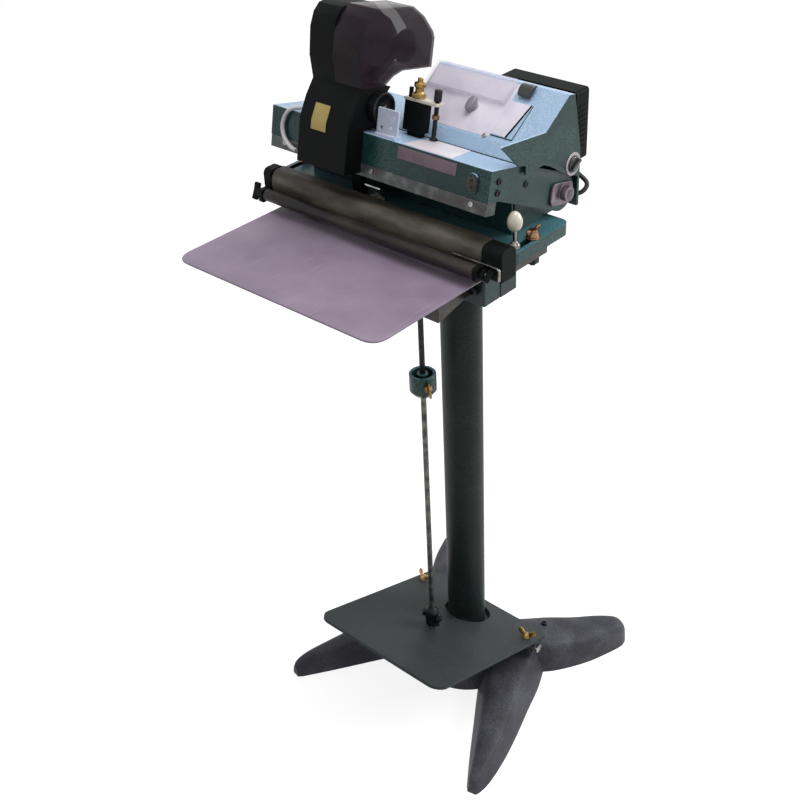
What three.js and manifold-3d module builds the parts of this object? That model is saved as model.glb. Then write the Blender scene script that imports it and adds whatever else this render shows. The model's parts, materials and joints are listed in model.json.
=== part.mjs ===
// Foot pedal impulse sealer with a hot-stamp coder on its upper arm, on a cast four-legged stand.
// Millimetres, +Z up, operator at -Y, +X at the operator's right. The floor is z = 0 and the column
// stands on x = 0, y = 0 of the working frame; at the end the whole is shifted along Y so that the
// origin lies at the middle of its footprint.
import * as THREE from 'three';
import { mergeVertices } from 'three/addons/utils/BufferGeometryUtils.js';
import Module from 'manifold-3d';

const wasm = await Module();
wasm.setup();

// General values
const seat = 0.3; // gap left between pieces that touch
const overrun = 1; // how far a cutting shape runs past a face
const weld_distance = 0.0001;
const degree = Math.PI / 180;
const round_steps = 24; // facets of a small round piece
const small_round_steps = 16; // facets of a thin rod or a hole
const big_round_steps = 48;
const hexagon = 6;
const arc_steps = 6; // facets of a rounded corner

// Driving dimensions: the stand
const column = { diameter: 60.5, wall: 3, foot_z: 72.3, top_z: 861 };
const hub = { floor_radius: 88, top_radius: 50, height: 72, wall: 7, spigot_clearance: 0.4,
  spigot_top_z: 114,
  shoulder_share: 0.6, neck_share: 0.92, hollow_share: 0.55 };
const column_bolt = { shank: 8, across: 13, head: 9, depth: 16, z: 92 };
const front_leg = { tip_x: 188, tip_y: -221, floor_half: 58, top_half: 40, height: 50 };
const rear_leg = { tip_x: 176, tip_y: 193, floor_half: 56, top_half: 40, height: 70, hole: 10,
  hole_x: 94, hole_y: 90 };
const leg_wall = 7;
const leg_section = { waist_share: 0.62, shoulder_share: 0.9, crown_share: 0.72, hollow_rows: 5 };
// each row: place along X and Y as shares of the tip, then floor width, top width and height shares
const front_leg_shares = [
  [0.319, -0.204, 1, 1, 1], [0.505, -0.023, 0.86, 0.85, 0.92], [0.628, 0.235, 0.74, 0.68, 0.88],
  [0.75, 0.489, 0.57, 0.5, 0.8], [0.878, 0.747, 0.4, 0.35, 0.7], [0.985, 0.973, 0.24, 0.225, 0.58],
  [1.003, 1.012, 0.155, 0.125, 0.46],
];
const rear_leg_shares = [
  [0.227, 0.052, 1, 1, 1], [0.409, 0.269, 0.82, 0.7, 0.886], [0.591, 0.466, 0.75, 0.75, 0.8],
  [0.756, 0.653, 0.59, 0.65, 0.7], [0.886, 0.839, 0.43, 0.5, 0.614], [0.98, 0.97, 0.285, 0.325, 0.543],
  [1.006, 1.01, 0.18, 0.2, 0.43],
];

// Driving dimensions: the pedal, hinged behind the column
const pedal = {
  angle: 19.6, width: 250, front: 273, rear: 16, thickness: 5, rise: 16.7, corner: 22, rear_corner: 8,
  column_hole: 76, column_s: 41.2, slot_length: 23, slot_width: 11, slot_s: 131,
};
const pedal_arm = { edge: 15, width: 20, thickness: 5, eye_radius: 11, neck_half: 8.8, rear: 13,
  front: 62, bolt_s: 26, cross: 14 };
// the straps stand in from the plate's sides, and the shaft and its bosses follow them
pedal_arm.x = pedal.width / 2 - pedal_arm.edge;
const hinge = { y: 34, z: 60, shaft: 12, boss_radius: 12, clearance: 0.4, shaft_past: 4, boss_short: 6 };
hinge.shaft_half = pedal_arm.x + pedal_arm.width / 2 + hinge.shaft_past;
hinge.boss_half = pedal_arm.x - pedal_arm.width / 2 - hinge.boss_short;
const wing_nut = { stud: 6, hole: 7, hub_radius: 6, top_radius: 4.5, hub: 8, wing_span: 30,
  wing_height: 15, wing_thick: 3,
  head: 5, root_z: 2.4, crook_z: 7.2, tip_low_z: 10.5 };
const flat_wing = { top_z: 13.5, tip_low_z: 8.25, crook_z: 7.2 };

// Driving dimensions: the pull rod
const rod = { x: 0, y: -86, diameter: 8, foot_z: 98, split_z: 600, split_gap: 4, fork_z: 897.5 };
const rod_foot = { nut_z: 103, nut_height: 12, nut_across: 18, clevis_z: 131, clevis_top: 168,
  clevis_d: 22,
  foot_radius: 7.9, belly_z: 3.7, shoulder_z: 29.6, neck_radius: 5.5,
  pin: 8, pin_length: 36 };
const rod_fork = { width: 16, depth: 14, height: 25, slot: 6.8, pin: 6 };
const rod_collar = { radius: 13, height: 7, z: 831 };
const coupling = { radius: 20.5, height: 34, z: 578, wall: 5, boss: 16 };
const coupling_screw = { shank: 5, head: 11, reach: 14, wing: 22, wing_thick: 3, angle: 38,
  z: 599.1 };
const guide = { half_width: 43, front_y: -98, top_z: 745, wall: 4, front_depth: 33, rear_depth: 19,
  rod_hole: 11 };
const spring = { radius: 10.4, wire: 2.4, turns: 10, top_gap: 0.4, steps: 8, sides: 5 };

// Driving dimensions: the head's carrier; the whole head follows half the width of its upper arm
const head_half = 176.4;
// how far the pieces reach past the arm's ends, or stop short of them
const past_arm = { plate: 23.6, hood: 4.9 };
const short_of_arm = { jaw: 1.4, bar: 0.6, side: 10.4, box: 3.4, escutcheon: 23.9 };
const saddle = { half_x: 70, half_y: 35, foot_z: 716, split: 0.4, bore_gap: 0.35, bolt: 10, bolt_x: 53,
  bolt_rows: [738, 790], bolt_head: 7, bolt_across: 17 };
const plate = { half_x: head_half + past_arm.plate, tongue_half: 128, front_y: -145, wing_rear_y: -31, rear_y: 37,
  z: 866, thickness: 15,
  corner: 12, rod_hole: 20 };
// how far in from the base plate's sides its slots, pads and lever stand
const plate_inset = { slot: 10, pad: 1, lever: 11 };
const wing_slot = { x: plate.half_x - plate_inset.slot, front_y: -134, rear_y: -82, width: 9 };
const wing_bolt = { y: -93, stud: 7.5, foot: 12, foot_across: 14, base_radius: 9, base: 4 };
const table = { half_x: 168, front_y: -346.6, rear_y: -152, top_z: 848, thickness: 3, corner: 20 };
const table_arm = { inner_x: 120, outer_x: 150, pad_x: plate.half_x - plate_inset.pad, thickness: 8, front_inset: 24,
  web_y: -139,
  pad_rear_y: -76, cross_y: -200 };

// Driving dimensions: the lower jaw
const jaw = { half_x: head_half - short_of_arm.jaw, front_y: -168.5, rear_y: plate.front_y - seat, top_z: 895.2,
  foot_z: 852,
  round: 14, bevel: 2, groove: 8.6, groove_depth: 1.6 };
const strip = { width: 8, height: 3, inset: 2.7 };
const cloth = { thickness: 0.9, foot_z: 856 };
const jaw_cap = { cheek: 7, left_length: 13.5, right_length: 29.5, gap: 0.4, top: 2.4, round: 8,
  front_y: -190,
  block_front_y: -171.6, drop: 40, eye: 8.4, corner: 3 };
const roller = { y: -181, z: 868.6, radius: 8.2, shaft: 3, end: 30 };
const knob = { left_length: 7, right_length: 5, left_half: 11.5, right_half: 8.5, left_turn: 67,
  right_turn: 25, wing_depth: 9, wing_thick: 6, hub_radius: 6.2, gap: 1.2 };
const clip = { thickness: 1.6, depth: 4, y: jaw_cap.block_front_y - seat, z: 879, drop: 17, bend: 3,
  along: 40, past: 29 };

// Driving dimensions: the upper arm, given closed, with its front level, and opened by arm.open
const arm = { pivot_y: -18, pivot_z: 908, open: 12.5, half_x: head_half, front_y: -166, top_z: 951.5,
  web_z: 914.4,
  plate: 6.4, skin: 4.5, rear_y: -112, boss_radius: 24, shaft: 14, step_y: -145 };
const bar = { half_x: head_half - short_of_arm.bar, foot_z: 899, depth: 17, ribbon_width: 4, ribbon: 0.5 };
const crank = { throw: 68, boss_radius: 14, eye_radius: 9, thickness: 6, slack: 1 };
const pivot_cap = { front_y: -42, rear_y: 0, low_z: 893, top_z: 921, plate: 3, radius: 9.5, length: 9 };
const escutcheon = { x: head_half - short_of_arm.escutcheon, z: 932, half_x: 8, half_z: 12, depth: 2.2 };

// Driving dimensions: the fixed housing
const side = { outer_x: head_half - short_of_arm.side, thickness: 5, front_y: -97, rear_y: 7 };
const cover = { wall: 3, top_z: 960, front_y: -103, nose_z: 959 };
const hood = { left_x: -15, right_x: head_half + past_arm.hood, wall: 3, low_y: -83, low_z: 982, ridge_y: -14,
  ridge_z: 1029.5,
  back_y: -3, back_z: 1027, rear_y: 12, apron_y: -97, apron_z: 970, skew: 1.2 };
const cheek = { nose_y: -142, nose_z: 1008, crook_y: -110, crook_z: 974, shelf_y: -59, bend_y: -60,
  bend_z: 965,
  heel_y: -28, heel_z: 938, end_z: 918.5 };
const see_through = { left_x: -13, right_x: 110, wall: 2, low_share: 0.58, top_share: 0.99, rise: 8 };
const panel_knob = { x: 69, share: 0.43, radius: 9, top_radius: 7.65, height: 9, base_radius: 11,
  base: 2 };
const rocker = { x: 129, share: 0.87, half_x: 9, radius: 10, flat: 3.2, stem: 1.6 };
const panel_rail = { left_x: 114, right_x: 146, low_share: 0.08, top_share: 0.68, height: 1.5 };
const timer = { y: -3, z: 940, radius: 10.5, length: 7, pointer: 3.4, grip_half: 9.45, turn: 28 };
const box = { left_x: 60, right_x: head_half - short_of_arm.box, depth: 25.5, foot_z: 933, top_z: 1022, wall: 3,
  corner: 4 };
const lead = { radius: 3, sides: 8 };
const transformer = { x: 84, y: -64, width: 74, depth: 44, height: 56, core: 22 };

// Driving dimensions: pieces on the arm, given closed like the arm
const coder = { left_x: -99, right_x: -18, mid_x: -60, pocket_z: 1003 };
const coder_profile = [[-195, 902], [-195, 957], [-187, 982], [-177, 1002], [-186, 1030], [-188, 1063],
  [-184, 1080],
  [-176, 1090], [-164, 1094], [-122, 1094], [-104, 1081], [-88, 1073], [-75, 1058], [-74, 1042],
    [-82, 1028],
  [-112, 1015], [-125, 1003], [-140, 985], [-125, 954], [-166.3, 954], [-166.3, 902]];
const guard = { thick: 2, right_x: -15.5, foot_z: 1003.6 };
const guard_profile = [[-178, 1000], [-187, 1032], [-188, 1063], [-178, 1084], [-166, 1095],
  [-101, 1096], [-79, 1084],
  [-59, 1065.5], [-55, 1057.6], [-55, 1022], [-109, 1021], [-125, 1015], [-145, 1000]];
const big_reel = { y: -151, z: 1056, radius: 29, core: 24 };
const small_reel = { y: -99, z: 1048, radius: 20, core: 12 };
const reel = { start_x: -58, width: 34, bore: 5, flange: 2.5 };
const wheel = { y: -146, z: 980.5, radius: 19.5, width: 12, teeth: 24, tooth: 1.6 };
const relay = { left_x: 7, right_x: 39, front_y: -127, rear_y: -113, foot: 6, height: 36 };
const relay_lid = { left_x: 6.2, right_x: 57, over: 0.7, height: 3.5, hole: 7 };
const fitting = { radius: 8.5, height: 24, x: 25 };
const adjuster = { x: 51, y: -119, radius: 3, low: 11, height: 61, cap_radius: 4.8, cap: 14, flange: 9,
  flange_height: 4, ring_radius: 4.6, ring_z: 26, ring_height: 5 };
const bracket = { left_x: -4, right_x: 28, y: -157, thickness: 6, height: 33, hole: 6, hole_z: 8,
  hole_inset: 7,
  slot_left_x: 17, slot_right_x: 25, slot_low_z: 24, slot_top_z: 28 };
const tube = { radius: 2.6, sides: 8 };
const lever = { x: plate.half_x - plate_inset.lever, y: -127, foot: 7, foot_shoulder: 5.4, foot_height: 9, stem: 2.4,
  ball_low: 903,
  ball_height: 25 };
// the knob's rows: radius, and height as a share of its own
const lever_ball = [[6.9, 0.18], [9.2, 0.45], [6.6, 0.82], [0, 1]];
const limit_switch = { x: -60, y: -124, width: 14, depth: 13, height: 40, button: 4,
  button_height: 3.5 };
const stop = { left_x: -42, right_x: -16, y: -124, thickness: 2, height: 17, lip: 9 };

// Materials
const paint = (color, roughness, metalness) => new THREE.MeshStandardMaterial({ color, roughness,
  metalness });
const cast_grey = paint(0x44474b, 0.6, 0.2);
const teal = paint(0x3c5a57, 0.45, 0.2);
const lavender = paint(0x8f7f95, 0.55, 0.1);
const taupe = paint(0x5c5750, 0.5, 0.2);
const cloth_brown = paint(0x6b6259, 0.7, 0);
const black_plastic = paint(0x17191b, 0.5, 0);
const coder_black = paint(0x1f2422, 0.55, 0.1);
const aluminium = paint(0x9a9a9c, 0.35, 0.9);
const steel = paint(0x8c8c8c, 0.35, 0.9);
const dark_steel = paint(0x23282b, 0.4, 0.6);
const brass = paint(0xb08a3c, 0.35, 0.9);
const cream = paint(0xcfc3ae, 0.4, 0);
const silicone = paint(0xb0503c, 0.7, 0);
const clear = paint(0xd8d6e0, 0.1, 0);
const smoky = paint(0x5e4a5e, 0.2, 0);
const panel_white = paint(0xd6d0dc, 0.4, 0);
const white = paint(0xe8e4e4, 0.5, 0);

// Solids: three.js shapes, joined and cut with manifold-3d
function solidOf(geometry) {
  const bare = new THREE.BufferGeometry();
  bare.setAttribute('position', geometry.getAttribute('position').clone());
  if (geometry.index) bare.setIndex(geometry.index.clone());
  const merged = mergeVertices(bare, weld_distance);
  const corners = merged.index.array;
  const kept = [];
  for (let i = 0; i < corners.length; i += 3) {
    const [a, b, c] = [corners[i], corners[i + 1], corners[i + 2]];
    if (a !== b && b !== c && c !== a) kept.push(a, b, c);
  }
  const vertProperties = new Float32Array(merged.getAttribute('position').array);
  return new wasm.Manifold(new wasm.Mesh({ numProp: 3, vertProperties,
    triVerts: new Uint32Array(kept) }));
}

function geometryOf(solid) {
  const mesh = solid.getMesh();
  const geometry = new THREE.BufferGeometry();
  geometry.setAttribute('position', new THREE.BufferAttribute(new Float32Array(mesh.vertProperties),
    3));
  geometry.setIndex(new THREE.BufferAttribute(new Uint32Array(mesh.triVerts), 1));
  return geometry;
}

function join(...geometries) {
  return geometryOf(geometries.map(solidOf).reduce((all, next) => all.add(next)));
}

function cut(body, ...tools) {
  return geometryOf(tools.map(solidOf).reduce((rest, tool) => rest.subtract(tool), solidOf(body)));
}

function common(body, tool) {
  return geometryOf(solidOf(body).intersect(solidOf(tool)));
}

function block(x0, x1, y0, y1, z0, z1) {
  const geometry = new THREE.BoxGeometry(x1 - x0, y1 - y0, z1 - z0);
  return geometry.translate((x0 + x1) / 2, (y0 + y1) / 2, (z0 + z1) / 2);
}

function outline(points) {
  return new THREE.Shape(points.map(([u, v]) => new THREE.Vector2(u, v)));
}

function swept(shape, length) {
  return new THREE.ExtrudeGeometry(shape, { depth: length, bevelEnabled: false,
    curveSegments: arc_steps });
}

// a shape drawn in Y and Z, swept along X from x0 to x1
function alongX(shape, x0, x1) {
  const turn = new THREE.Matrix4().makeBasis(
    new THREE.Vector3(0, 1, 0), new THREE.Vector3(0, 0, 1), new THREE.Vector3(1, 0, 0));
  return swept(shape, x1 - x0).applyMatrix4(turn).translate(x0, 0, 0);
}

// a shape drawn in X and Z, swept along Y from y0 to y1
function alongY(shape, y0, y1) {
  const turn = new THREE.Matrix4().makeBasis(
    new THREE.Vector3(1, 0, 0), new THREE.Vector3(0, 0, 1), new THREE.Vector3(0, -1, 0));
  return swept(shape, y1 - y0).applyMatrix4(turn).translate(0, y1, 0);
}

// a shape drawn in X and Y, swept upwards from z0 to z1
function upwards(shape, z0, z1) {
  return swept(shape, z1 - z0).translate(0, 0, z0);
}

function roundedRectangle(u0, u1, v0, v1, radius) {
  const shape = new THREE.Shape();
  shape.moveTo(u0 + radius, v0);
  shape.lineTo(u1 - radius, v0);
  shape.absarc(u1 - radius, v0 + radius, radius, -Math.PI / 2, 0);
  shape.lineTo(u1, v1 - radius);
  shape.absarc(u1 - radius, v1 - radius, radius, 0, Math.PI / 2);
  shape.lineTo(u0 + radius, v1);
  shape.absarc(u0 + radius, v1 - radius, radius, Math.PI / 2, Math.PI);
  shape.lineTo(u0, v0 + radius);
  shape.absarc(u0 + radius, v0 + radius, radius, Math.PI, 1.5 * Math.PI);
  return shape;
}

function roundX(radius, x0, x1, y, z, steps = round_steps) {
  const geometry = new THREE.CylinderGeometry(radius, radius, x1 - x0, steps);
  return geometry.rotateZ(Math.PI / 2).translate((x0 + x1) / 2, y, z);
}

function roundY(radius, y0, y1, x, z, steps = round_steps) {
  const geometry = new THREE.CylinderGeometry(radius, radius, y1 - y0, steps);
  return geometry.translate(x, (y0 + y1) / 2, z);
}

function roundZ(radius, z0, z1, x, y, steps = round_steps) {
  const geometry = new THREE.CylinderGeometry(radius, radius, z1 - z0, steps);
  return geometry.rotateX(Math.PI / 2).translate(x, y, (z0 + z1) / 2);
}

// a piece turned about an upright axis, from points of radius and height
function turned(points, x, y, z, steps = round_steps) {
  const profile = points.map(([r, h]) => new THREE.Vector2(r, h));
  const geometry = new THREE.LatheGeometry(profile, steps);
  return geometry.rotateX(Math.PI / 2).translate(x, y, z);
}

// a skin through rings of points, closed by its first and last ring
function loft(rings) {
  const count = rings[0].length;
  const positions = rings.flat(2);
  const faces = [];
  for (let ring = 0; ring + 1 < rings.length; ring += 1) {
    for (let i = 0; i < count; i += 1) {
      const a = ring * count + i;
      const b = ring * count + ((i + 1) % count);
      faces.push(a, b, b + count, a, b + count, a + count);
    }
  }
  const last = (rings.length - 1) * count;
  for (let i = 1; i + 1 < count; i += 1) {
    faces.push(0, i + 1, i, last, last + i, last + i + 1);
  }
  const geometry = new THREE.BufferGeometry();
  geometry.setAttribute('position', new THREE.Float32BufferAttribute(positions, 3));
  geometry.setIndex(faces);
  return insideOut(geometry) ? flipped(geometry) : geometry;
}

function insideOut(geometry) {
  const place = geometry.getAttribute('position');
  const corners = geometry.index.array;
  const [a, b, c] = [new THREE.Vector3(), new THREE.Vector3(), new THREE.Vector3()];
  let volume = 0;
  for (let i = 0; i < corners.length; i += 3) {
    a.fromBufferAttribute(place, corners[i]);
    b.fromBufferAttribute(place, corners[i + 1]);
    c.fromBufferAttribute(place, corners[i + 2]);
    volume += a.dot(b.cross(c));
  }
  return volume < 0;
}

function flipped(geometry) {
  const corners = Array.from(geometry.index.array);
  for (let i = 0; i < corners.length; i += 3) {
    [corners[i + 1], corners[i + 2]] = [corners[i + 2], corners[i + 1]];
  }
  geometry.setIndex(corners);
  return geometry;
}

// a tube of a round section along a smooth route
function tubeAlong(points, radius, sides, steps) {
  const route = new THREE.CatmullRomCurve3(points.map((p) => new THREE.Vector3(...p)));
  const section = new THREE.Shape();
  section.absarc(0, 0, radius, 0, 2 * Math.PI);
  const ring = new THREE.Shape(section.getPoints(sides).slice(0, sides));
  return new THREE.ExtrudeGeometry(ring, { steps, extrudePath: route, bevelEnabled: false });
}

// The scene: fixed pieces, the arm opened about its pivot, and the pedal tilted about its hinge
const sealer = new THREE.Group();
const arm_swing = new THREE.Group();
arm_swing.position.set(0, arm.pivot_y, arm.pivot_z);
arm_swing.rotation.x = -arm.open * degree;
const arm_frame = new THREE.Group();
arm_frame.position.set(0, -arm.pivot_y, -arm.pivot_z);
arm_swing.add(arm_frame);
const pedal_frame = new THREE.Group();
pedal_frame.position.set(0, hinge.y, hinge.z);
pedal_frame.rotation.x = -pedal.angle * degree;
sealer.add(arm_swing, pedal_frame);

function piece(name, geometry, material, group = sealer) {
  const mesh = new THREE.Mesh(geometry, material);
  mesh.name = name;
  group.add(mesh);
  return mesh;
}

// the same piece on the other side of the plane x = 0
function mirrored(geometry) {
  const copy = geometry.clone().scale(-1, 1, 1);
  if (!copy.index) copy.setIndex([...Array(copy.getAttribute('position').count).keys()]);
  return flipped(copy);
}

// Base casting: a hollow hub with four curved, tapered legs, a spigot for the column and the hinge
// bosses
function legRings(leg, shares, thinner) {
  const places = shares.map(([x, y]) => [leg.tip_x * x, leg.tip_y * y]);
  return shares.map(([, , floor_share, top_share, height_share], i) => {
    const [x, y] = places[i];
    const before = places[Math.max(i - 1, 0)];
    const after = places[Math.min(i + 1, places.length - 1)];
    const heading = Math.atan2(after[1] - before[1], after[0] - before[0]);
    const floor_half = Math.max(leg.floor_half * floor_share - thinner, seat);
    const top_half = Math.max(leg.top_half * top_share - thinner, seat);
    const height = leg.height * height_share - thinner;
    const waist = (floor_half + 2 * top_half) / 3;
    const low = thinner > 0 ? -overrun : 0;
    const half_section = [[floor_half, low], [waist, leg_section.waist_share * height],
      [top_half, leg_section.shoulder_share * height], [leg_section.crown_share * top_half, height]];
    const section = [...half_section, ...half_section.map(([w, z]) => [-w, z]).reverse()];
    return section.map(([w, z]) => [x + w * Math.sin(heading), y - w * Math.cos(heading), z]);
  });
}

function makeBase() {
  const fl = loft(legRings(front_leg, front_leg_shares, 0));
  const rl = loft(legRings(rear_leg, rear_leg_shares, 0));
  const shoulder = hub.floor_radius - hub.wall;
  const dome = turned([[0, 0], [hub.floor_radius, 0], [shoulder, hub.shoulder_share * hub.height],
    [hub.top_radius + hub.wall, hub.neck_share * hub.height],
    [hub.top_radius, hub.height], [0, hub.height]], 0, 0, 0, big_round_steps);
  const bosses = roundX(hinge.boss_radius, -hinge.boss_half, hinge.boss_half, hinge.y, hinge.z);
  const outer = join(dome, fl, mirrored(fl), rl, mirrored(rl), bosses);

  const front_hollow = loft(legRings(front_leg, front_leg_shares.slice(0, leg_section.hollow_rows),
    leg_wall));
  const rear_hollow = loft(legRings(rear_leg, rear_leg_shares.slice(0, leg_section.hollow_rows),
    leg_wall));
  const inside = [front_hollow, mirrored(front_hollow), rear_hollow, mirrored(rear_hollow)];
  const hub_hollow = turned([[0, -overrun], [shoulder, -overrun],
    [shoulder - hub.wall, hub.hollow_share * hub.height],
    [hub.top_radius, hub.height - hub.wall], [0, hub.height - hub.wall]], 0, 0, 0, big_round_steps);
  const spigot_radius = column.diameter / 2 - column.wall - hub.spigot_clearance;
  const shell = cut(outer, hub_hollow, ...inside);
  const full = join(shell, roundZ(spigot_radius, hub.height - hub.wall, hub.spigot_top_z, 0, 0,
    big_round_steps),
    common(bosses, dome));
  const eye_pocket = hinge.boss_radius + 2 * seat + 2 * hinge.clearance;
  const pocket_end = hinge.shaft_half + pedal_arm.width;
  const pockets = [-1, 1].map((s) => roundX(eye_pocket, Math.min(s * hinge.boss_half, s * pocket_end),
    Math.max(s * hinge.boss_half, s * pocket_end), hinge.y, hinge.z));
  const bore = roundX(hinge.shaft / 2 + hinge.clearance, -pocket_end, pocket_end, hinge.y, hinge.z);
  const bolt_hole = roundY(column_bolt.shank / 2 + seat, spigot_radius - column_bolt.depth - overrun,
    spigot_radius + overrun, 0, column_bolt.z);
  const floor_holes = [-1, 1].map((s) => roundZ(rear_leg.hole / 2, rear_leg.height / 3,
    rear_leg.height + overrun,
    s * rear_leg.hole_x, rear_leg.hole_y, small_round_steps));
  return cut(full, bore, bolt_hole, ...pockets, ...floor_holes);
}
piece('base_casting', makeBase(), cast_grey);

// Column: a steel tube over the spigot, held by a bolt through its rear wall
function makeColumn() {
  const outer = column.diameter / 2;
  const inner = outer - column.wall;
  const tube_wall = turned([[inner, column.foot_z], [outer, column.foot_z], [outer, column.top_z],
    [inner, column.top_z],
    [inner, column.foot_z]], 0, 0, 0, big_round_steps);
  return cut(tube_wall, roundY(column_bolt.shank / 2 + seat, inner - overrun, outer + overrun, 0,
    column_bolt.z));
}
piece('column_tube', makeColumn(), cast_grey);
piece('column_bolt', join(
  roundY(column_bolt.shank / 2, column.diameter / 2 - column.wall - column_bolt.depth,
    column.diameter / 2 + 2 * seat, 0, column_bolt.z),
  roundY(column_bolt.across / 2, column.diameter / 2 + seat, column.diameter / 2 + column_bolt.head, 0,
    column_bolt.z, hexagon),
), brass);

// Pedal: in its own frame s runs forward from the hinge along the plate and h is square to it
const along = (s) => -s;
function makePedalPlate() {
  const half = pedal.width / 2;
  const shape = new THREE.Shape();
  shape.moveTo(-half + pedal.corner, along(pedal.front));
  shape.lineTo(half - pedal.corner, along(pedal.front));
  shape.absarc(half - pedal.corner, along(pedal.front) + pedal.corner, pedal.corner, -Math.PI / 2, 0);
  shape.lineTo(half, along(-pedal.rear) - pedal.rear_corner);
  shape.lineTo(half - pedal.rear_corner, along(-pedal.rear));
  shape.lineTo(-half + pedal.rear_corner, along(-pedal.rear));
  shape.lineTo(-half, along(-pedal.rear) - pedal.rear_corner);
  shape.absarc(-half + pedal.corner, along(pedal.front) + pedal.corner, pedal.corner, Math.PI,
    1.5 * Math.PI);
  const top = pedal.rise + pedal.thickness;
  const sheet = upwards(shape, pedal.rise, top);
  const column_hole = roundZ(pedal.column_hole / 2, pedal.rise - overrun, top + overrun, 0,
    along(pedal.column_s), big_round_steps);
  const slot = roundedRectangle(-pedal.slot_width / 2, pedal.slot_width / 2,
    along(pedal.slot_s) - pedal.slot_length / 2,
    along(pedal.slot_s) + pedal.slot_length / 2, pedal.slot_width / 2 - seat);
  const studs = [-1, 1].map((s) => roundZ(wing_nut.hole / 2, pedal.rise - overrun, top + overrun,
    s * pedal_arm.x,
    along(pedal_arm.bolt_s), small_round_steps));
  return cut(sheet, column_hole, upwards(slot, pedal.rise - overrun, top + overrun), ...studs);
}
piece('pedal_plate', makePedalPlate(), cast_grey, pedal_frame);

function makePedalYoke() {
  const top = pedal.rise - seat;
  const low = top - pedal_arm.thickness;
  const parts = [];
  for (const sign of [-1, 1]) {
    const x0 = sign * pedal_arm.x - pedal_arm.width / 2;
    const x1 = x0 + pedal_arm.width;
    const eye = roundX(pedal_arm.eye_radius, x0, x1, 0, 0);
    const neck = block(x0, x1, -pedal_arm.neck_half, pedal_arm.neck_half, 0, top);
    const strap = block(x0, x1, along(pedal_arm.front), along(-pedal_arm.rear), low, top);
    parts.push(eye, neck, strap);
  }
  const reach = pedal_arm.x;
  const bridge = block(-reach, reach, along(pedal_arm.front + column.diameter / 2),
    along(pedal_arm.front + column.diameter / 2 - pedal_arm.cross), low, top);
  const runners = [-1, 1].map((s) => block(s * pedal_arm.x - pedal_arm.width / 2,
    s * pedal_arm.x + pedal_arm.width / 2,
    along(pedal_arm.front + column.diameter / 2), along(pedal_arm.front - overrun), low, top));
  const bore = roundX(hinge.shaft / 2 + hinge.clearance, -hinge.shaft_half - overrun,
    hinge.shaft_half + overrun, 0, 0);
  const studs = [-1, 1].map((s) => roundZ(wing_nut.hole / 2, 0, top + overrun, s * pedal_arm.x,
    along(pedal_arm.bolt_s), small_round_steps));
  return cut(join(...parts, bridge, ...runners), bore, ...studs);
}
piece('pedal_yoke', makePedalYoke(), dark_steel, pedal_frame);

// a wing nut on its stud: z is the face that the nut sits on, low the underside of what the head grips
function wingNut(x, y, z, low) {
  const stud = roundZ(wing_nut.stud / 2, low - wing_nut.head, z + wing_nut.hub, x, y,
    small_round_steps);
  const head = roundZ(wing_nut.hub_radius, low - wing_nut.head, low - seat, x, y, hexagon);
  const nut = turned([[0, 0], [wing_nut.hub_radius, 0], [wing_nut.top_radius, wing_nut.hub],
    [0, wing_nut.hub]], x, y, z + seat, small_round_steps);
  const { wing_span, wing_height, root_z, crook_z, tip_low_z } = wing_nut;
  const wing = outline([[0, root_z], [wing_span / 2, tip_low_z], [wing_span / 2, wing_height],
    [wing_span / 3, wing_height],
    [0, crook_z], [-wing_span / 3, wing_height], [-wing_span / 2, wing_height],
      [-wing_span / 2, tip_low_z]]);
  const wings = alongY(wing, -wing_nut.wing_thick / 2, wing_nut.wing_thick / 2).translate(x, y,
    z + seat);
  return join(stud, head, nut, wings);
}
for (const [word, sign] of [['left', -1], ['right', 1]]) {
  piece(`pedal_wing_nut_${word}`, wingNut(sign * pedal_arm.x, along(pedal_arm.bolt_s),
    pedal.rise + pedal.thickness,
    pedal.rise - seat - pedal_arm.thickness), brass, pedal_frame);
}
piece('pedal_shaft', join(
  roundX(hinge.shaft / 2, -hinge.shaft_half, hinge.shaft_half, hinge.y, hinge.z),
  roundX(hinge.shaft / 2 + hinge.clearance + overrun, -hinge.shaft_half - overrun, -hinge.shaft_half,
    hinge.y, hinge.z),
  roundX(hinge.shaft / 2 + hinge.clearance + overrun, hinge.shaft_half, hinge.shaft_half + overrun,
    hinge.y, hinge.z),
), steel);

// Pull rod in two lengths, joined by an adjustable round coupling
function makeLowerRod() {
  const bare = roundZ(rod.diameter / 2, rod.foot_z, rod.split_z - rod.split_gap / 2, rod.x, rod.y,
    small_round_steps);
  const nut = roundZ(rod_foot.nut_across / 2, rod_foot.nut_z, rod_foot.nut_z + rod_foot.nut_height,
    rod.x, rod.y, hexagon);
  const clevis = turned([[0, 0], [rod_foot.foot_radius, 0], [rod_foot.clevis_d / 2, rod_foot.belly_z],
    [rod_foot.clevis_d / 2, rod_foot.shoulder_z], [rod_foot.neck_radius,
      rod_foot.clevis_top - rod_foot.clevis_z],
    [0, rod_foot.clevis_top - rod_foot.clevis_z]], rod.x, rod.y, rod_foot.clevis_z, small_round_steps);
  const pin_z = (rod_foot.clevis_z + rod_foot.clevis_top) / 2;
  const pin = roundX(rod_foot.pin / 2, -rod_foot.pin_length / 2, rod_foot.pin_length / 2, rod.y, pin_z,
    12);
  return join(bare, nut, clevis, pin);
}
piece('pull_rod_lower', makeLowerRod(), steel);

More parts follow.
